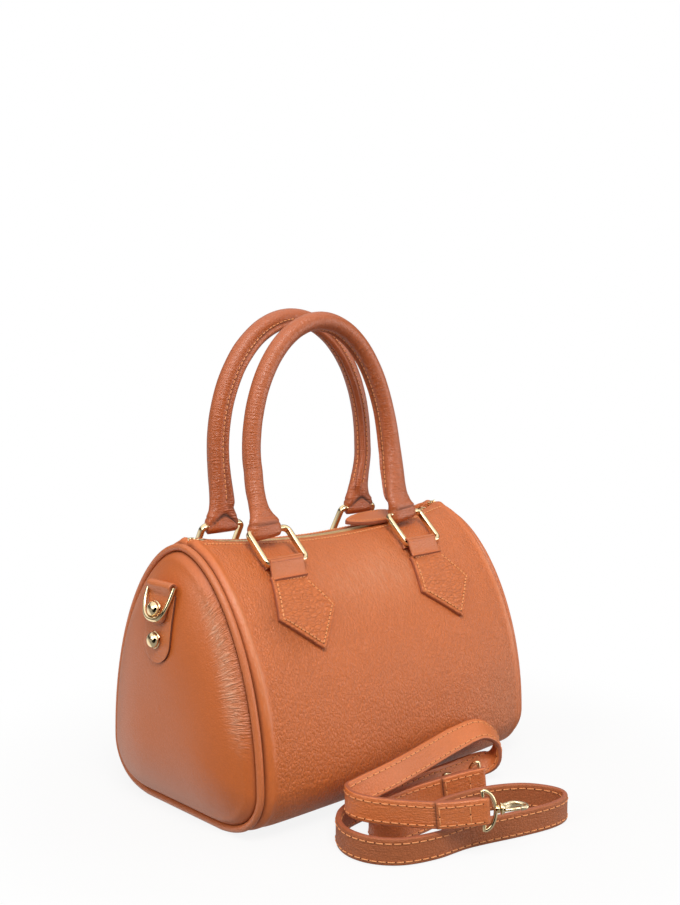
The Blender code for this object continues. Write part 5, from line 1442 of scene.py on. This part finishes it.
# Shoulder strap
# Two layers of tan leather sewn back to back, with rounded, painted edges. Each end is folded
# round a metal eye and sewn down, and the strap lies coiled on the floor in front of the bag.
STRAP_HALF = 0.0085
STRAP_THICKNESS = 0.0036
STRAP_END_THICKNESS = 0.0054
STRAP_END_LENGTH = 0.033
FOLD_STEP = 0.0004
PILE_LENGTH = 0.1
PILE_MIDDLE = Vector((-0.015, -0.135, 0.0))
STRAP_STITCH = 0.0056
ROUTE_STEPS = 12
# Points of the coil round its middle, in parts of its length, with the way that the strap's edge faces.
STRAP_ROUTE = (
    (-0.223, -0.536, 0.315, (0, 0, 1)), (-0.33, -0.455, 0.305, (0, 0, 1)), (-0.45, -0.325, 0.285, (0, 0, 1)),
    (-0.56, -0.14, 0.272, (0, 0, 1)), (-0.655, 0.03, 0.27, (0, 0, 1)), (-0.7, 0.165, 0.275, (0, 0.05, 1)),
    (-0.66, 0.262, 0.285, (0.1, 0.12, 1)), (-0.54, 0.262, 0.3, (0.3, 0.32, 1)),
    (-0.24, 0.262, 0.325, (0.45, 0.48, 0.9)), (0.15, 0.31, 0.345, (0.5, 0.55, 0.8)),
    (0.48, 0.335, 0.375, (0.52, 0.58, 0.65)), (0.73, 0.32, 0.385, (0.58, 0.66, 0.45)),
    (0.875, 0.29, 0.285, (0.66, 0.72, 0.2)), (0.86, 0.3, 0.15, (0.62, 0.72, 0.4)),
    (0.72, 0.38, 0.1, (0.25, 0.35, 1)), (0.5, 0.423, 0.087, (0, 0, 1)), (0.15, 0.428, 0.087, (0, 0, 1)),
    (-0.25, 0.42, 0.087, (0, 0, 1)), (-0.53, 0.395, 0.087, (0, 0, 1)), (-0.705, 0.3, 0.087, (0, 0, 1)),
    (-0.805, 0.13, 0.087, (0, 0, 1)), (-0.79, -0.06, 0.087, (0, 0, 1)), (-0.67, -0.215, 0.087, (0, 0, 1)),
    (-0.45, -0.305, 0.087, (0, 0, 1)), (-0.175, -0.345, 0.087, (0, 0, 1)), (0.185, -0.46, 0.087, (0, 0, 1)),
    (0.43, -0.52, 0.087, (0, 0, 1)), (0.59, -0.51, 0.087, (0, 0, 1)), (0.668, -0.43, 0.087, (0, 0, 1)),
    (0.645, -0.3, 0.087, (0, 0, 1)), (0.54, -0.16, 0.087, (0, 0, 1)), (0.31, -0.04, 0.087, (0, 0, 1)),
    (0.02, 0.02, 0.087, (0, 0, 1)), (-0.23, 0.01, 0.087, (0, 0, 1)), (-0.43, 0.03, 0.087, (0, 0, 1)),
    (-0.53, 0.13, 0.087, (0, 0, 1)), (-0.47, 0.235, 0.087, (0, 0, 1)), (-0.3, 0.29, 0.087, (0, 0, 1)),
    (-0.06, 0.295, 0.09, (0, 0, 1)), (0.15, 0.245, 0.105, (0, 0, 1)), (0.33, 0.17, 0.13, (0, 0, 1)),
    (0.5, 0.085, 0.15, (0, 0, 1)),
)
strap_leather = leather("strap leather", (0.64, 0.172, 0.042), (0.34, 0.075, 0.02), pebble=0.0018,
                        relief=0.00022, roughness=0.4, spacing=0.0016, length=0.02, crease=0.0004, stain=0.14)
route_places = [PILE_MIDDLE + PILE_LENGTH * Vector(row[:3]) for row in STRAP_ROUTE]
route_edges = [Vector(row[3]) for row in STRAP_ROUTE]
strap_edges = [a.lerp(b, k / ROUTE_STEPS) for a, b in zip(route_edges, route_edges[1:])
               for k in range(ROUTE_STEPS)]
strap_edges.append(route_edges[-1])
strap_points = curve_through(route_places, ROUTE_STEPS)
strap_reach = path_reach(strap_points)
strap_length = strap_reach[-1]


def strap_frame(reach):
    """Point, direction, upper-edge direction and face direction of the strap at a reach."""
    k, share = span_at(strap_reach, reach)
    point, following = strap_points[k:k + 2]
    before = strap_points[max(k - 1, 0)]
    after = strap_points[min(k + 2, len(strap_points) - 1)]
    along = (following - before).normalized().lerp((after - point).normalized(), share).normalized()
    edge = strap_edges[k].lerp(strap_edges[k + 1], share)
    edge = (edge - along * edge.dot(along)).normalized()
    return point.lerp(following, share), along, edge, along.cross(edge)


def strap_station(reach):
    """A station of the strap: thicker where its ends are folded, with a round nose at each end."""
    point, along, edge, face = strap_frame(reach)
    near = min(reach, strap_length - reach)
    fold = 1 - smooth(STRAP_END_LENGTH - FOLD_STEP, STRAP_END_LENGTH + FOLD_STEP, near)
    thick = lerp(STRAP_THICKNESS, STRAP_END_THICKNESS, fold)
    nose = min(near / (STRAP_END_THICKNESS / 2), 1.0)
    thick *= sqrt(1 - (1 - nose) ** 2)
    half = STRAP_HALF * (1 + 0.012 * noise.noise(Vector((reach * 40, 5.0, 0.0)))) - 0.0003 * (1 - nose)
    return half, lambda across, lift: point + edge * across + face * ((lift / STRAP_THICKNESS - 0.5) * thick)


strap_reaches = [0.0001, 0.0004, 0.0009, 0.0017, 0.0027]
strap_reaches += [lerp(0.0027, STRAP_END_LENGTH - FOLD_STEP, k / 15) for k in range(1, 16)]
strap_reaches += [STRAP_END_LENGTH + FOLD_STEP * k for k in (-0.5, 0.0, 0.5, 1.0)]
strap_far_end = [strap_length - r for r in reversed(strap_reaches)]
strap_reaches += [lerp(STRAP_END_LENGTH + FOLD_STEP, strap_length - STRAP_END_LENGTH - FOLD_STEP, k / 440)
                  for k in range(1, 440)]
strap_reaches += strap_far_end
strap_stations = [strap_station(r) for r in strap_reaches]
strap = strip("strap", strap_stations, STRAP_THICKNESS, [strap_leather, edge_paint], "strap", 0.0011, 10,
              lengthwise=True)
strap_sides = len(strap.data.vertices) // len(strap_stations)
marks = {"worn": [], "dark": []}
for reach in strap_reaches:
    near = min(reach, strap_length - reach)
    worn_part = 0.15 + 0.4 * smooth(-0.1, 0.35, noise.noise(Vector((reach * 14, 1.0, 0.0))))
    # Painted shade on the loops that lie lowest, on the floor, and at the step where each folded end stops.
    lower_loop_shade = 0.42 * band(reach / strap_length, 0.42, 0.5, 0.8, 0.84)
    fold_step_shade = 0.8 * bell(near, STRAP_END_LENGTH, 0.0005)
    marks["worn"] += [worn_part] * strap_sides
    marks["dark"] += [max(lower_loop_shade, fold_step_shade)] * strap_sides
mark(strap, **marks)
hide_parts("shoulder_strap")


def strap_spot(reach, across, face):
    """A point on one face of the strap, with its outward direction."""
    point = strap_station(reach)[1](across, STRAP_THICKNESS if face > 0 else 0.0)
    return point, strap_frame(reach)[3] * face


far_fold = strap_length - STRAP_END_LENGTH
strap_spans = ((0.0045, STRAP_END_LENGTH - 0.001), (STRAP_END_LENGTH + 0.0012, far_fold - 0.0012),
               (far_fold + 0.001, strap_length - 0.0045))
strap_seams = []
for face in (1, -1):
    for across in (STRAP_HALF - 0.0031, -STRAP_HALF + 0.0024):
        for low, high in strap_spans:
            steps = max(8, int((high - low) / 0.002))
            strap_seams.append([strap_spot(lerp(low, high, k / steps), across, face)
                                for k in range(steps + 1)])
    for reach in (STRAP_END_LENGTH - 0.0022, 0.0125, strap_length - 0.0125, far_fold + 0.0022):
        strap_seams.append([strap_spot(reach, lerp(-STRAP_HALF + 0.0026, STRAP_HALF - 0.0033, k / 8), face)
                            for k in range(9)])
sew("strap_stitches", strap_seams, "strap", STRAP_STITCH, 0.0004)

# Snap hooks
# A plated eye runs through each folded strap end. Its barrel carries a hook that swivels, and a
# sprung gate closes the hook's mouth.
EYE_WIRE = 0.0013
EYE_HEIGHT = 0.0252
EYE_REACH = 0.0078
EYE_INSET = 0.0042
BARREL_LENGTH = 0.003
BARREL_PROFILE = ((0.0, 0.0), (0.0, 0.0018), (0.0004, 0.0026), (0.0009, 0.0027), (0.0013, 0.0022),
                  (0.0017, 0.0022), (0.0021, 0.0027), (0.0027, 0.0026), (BARREL_LENGTH, 0.0019),
                  (BARREL_LENGTH, 0.0))
COLLAR_LENGTH = 0.0025
COLLAR_PROFILE = ((0.0, 0.0), (0.0, 0.0028), (0.0004, 0.0037), (0.001, 0.0038), (0.0015, 0.0034),
                  (0.0019, 0.0035), (COLLAR_LENGTH, 0.0030), (COLLAR_LENGTH, 0.0))
CLAW_LENGTH = 0.0155
CLAW_HALF_WIDTH = 0.0046
CLAW_ROOT = 0.0031
CLAW_TIP = 0.00125
CLAW_THICKNESS = 0.0013
CLAW_SIDES = 24
CLAW_PLACES = ((0.0, 0.1), (0.14, 0.25), (0.3, 0.7), (0.52, 1.0), (0.74, 0.92), (0.92, 0.55), (1.0, 0.0),
               (0.96, -0.45), (0.84, -0.68), (0.72, -0.72))
for tag, reach, fold in (("near", 0.0, 0.0), ("far", strap_length, radians(135.0))):
    place, along, edge, face = strap_frame(reach)
    outward = -along if tag == "near" else along
    ahead = Matrix.Rotation(fold, 3, edge) @ outward
    sideways = edge.cross(ahead)
    bar = place - outward * EYE_INSET
    path = [bar + edge * (-EYE_HEIGHT / 2 * s) for s in (0.75, 0.4, 0.0, -0.4, -0.75)]
    path += [bar + edge * (EYE_HEIGHT / 2 * cos(pi * k / 32)) + ahead * (EYE_REACH * sin(pi * k / 32))
             for k in range(33)]
    eye = bar_piece("eye." + tag, path, lambda i: round_section(EYE_WIRE, EYE_WIRE, 12), sideways, pale_gold,
                    "eye_" + tag, True)
    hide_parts("strap_eye_" + tag)
    start = bar + ahead * (EYE_REACH - EYE_WIRE / 2)
    turned_piece("eye_barrel." + tag, start, ahead, BARREL_PROFILE, 24, "eye_" + tag, radians(50))
    start += ahead * (BARREL_LENGTH + FIT)
    turned_piece("hook_collar." + tag, start, ahead, COLLAR_PROFILE, 24, "hook_" + tag, radians(50))
    claw_root = start + ahead * (COLLAR_LENGTH / 2)
    claw = curve_through([claw_root + ahead * (CLAW_LENGTH * a) + sideways * (CLAW_HALF_WIDTH * b)
                          for a, b in CLAW_PLACES], 5)

    def claw_section(i, steps=len(claw) - 1):
        """The hook's section: a tall ribbed plate at its root, round wire at its tip."""
        share = i / steps
        tall = lerp(CLAW_ROOT, CLAW_TIP, smooth(0.0, 0.62, share))
        pairs = []
        for c, s in round_section(1.0, 1.0, CLAW_SIDES):
            rib = 1 - 0.12 * (1 - smooth(0.35, 0.6, share)) * cos(2.5 * pi * s) ** 2
            pairs.append((CLAW_THICKNESS * rib * signed_power(c, 0.75), tall * s))
        return pairs

    def gate_section(i):
        """The gate's section: a little wider at its middle."""
        return round_section(0.0009 + 0.0004 * bell(i, 4, 1.6), 0.001, 12)

    hook = bar_piece("hook." + tag, claw, claw_section, edge, shaded_hook_gold, "hook_" + tag)
    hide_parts("hook_body_" + tag)
    gate_start = start + ahead * (COLLAR_LENGTH + FIT) + sideways * (CLAW_HALF_WIDTH * CLAW_PLACES[-1][1])
    gate_end = claw[-1] - ahead * (EYE_WIRE * 0.2 + FIT)
    gate_path = [gate_start.lerp(gate_end, k / 10) for k in range(11)]
    gate = bar_piece("gate." + tag, gate_path, gate_section, edge, pale_gold, "gate_" + tag)
    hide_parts("hook_gate_" + tag)
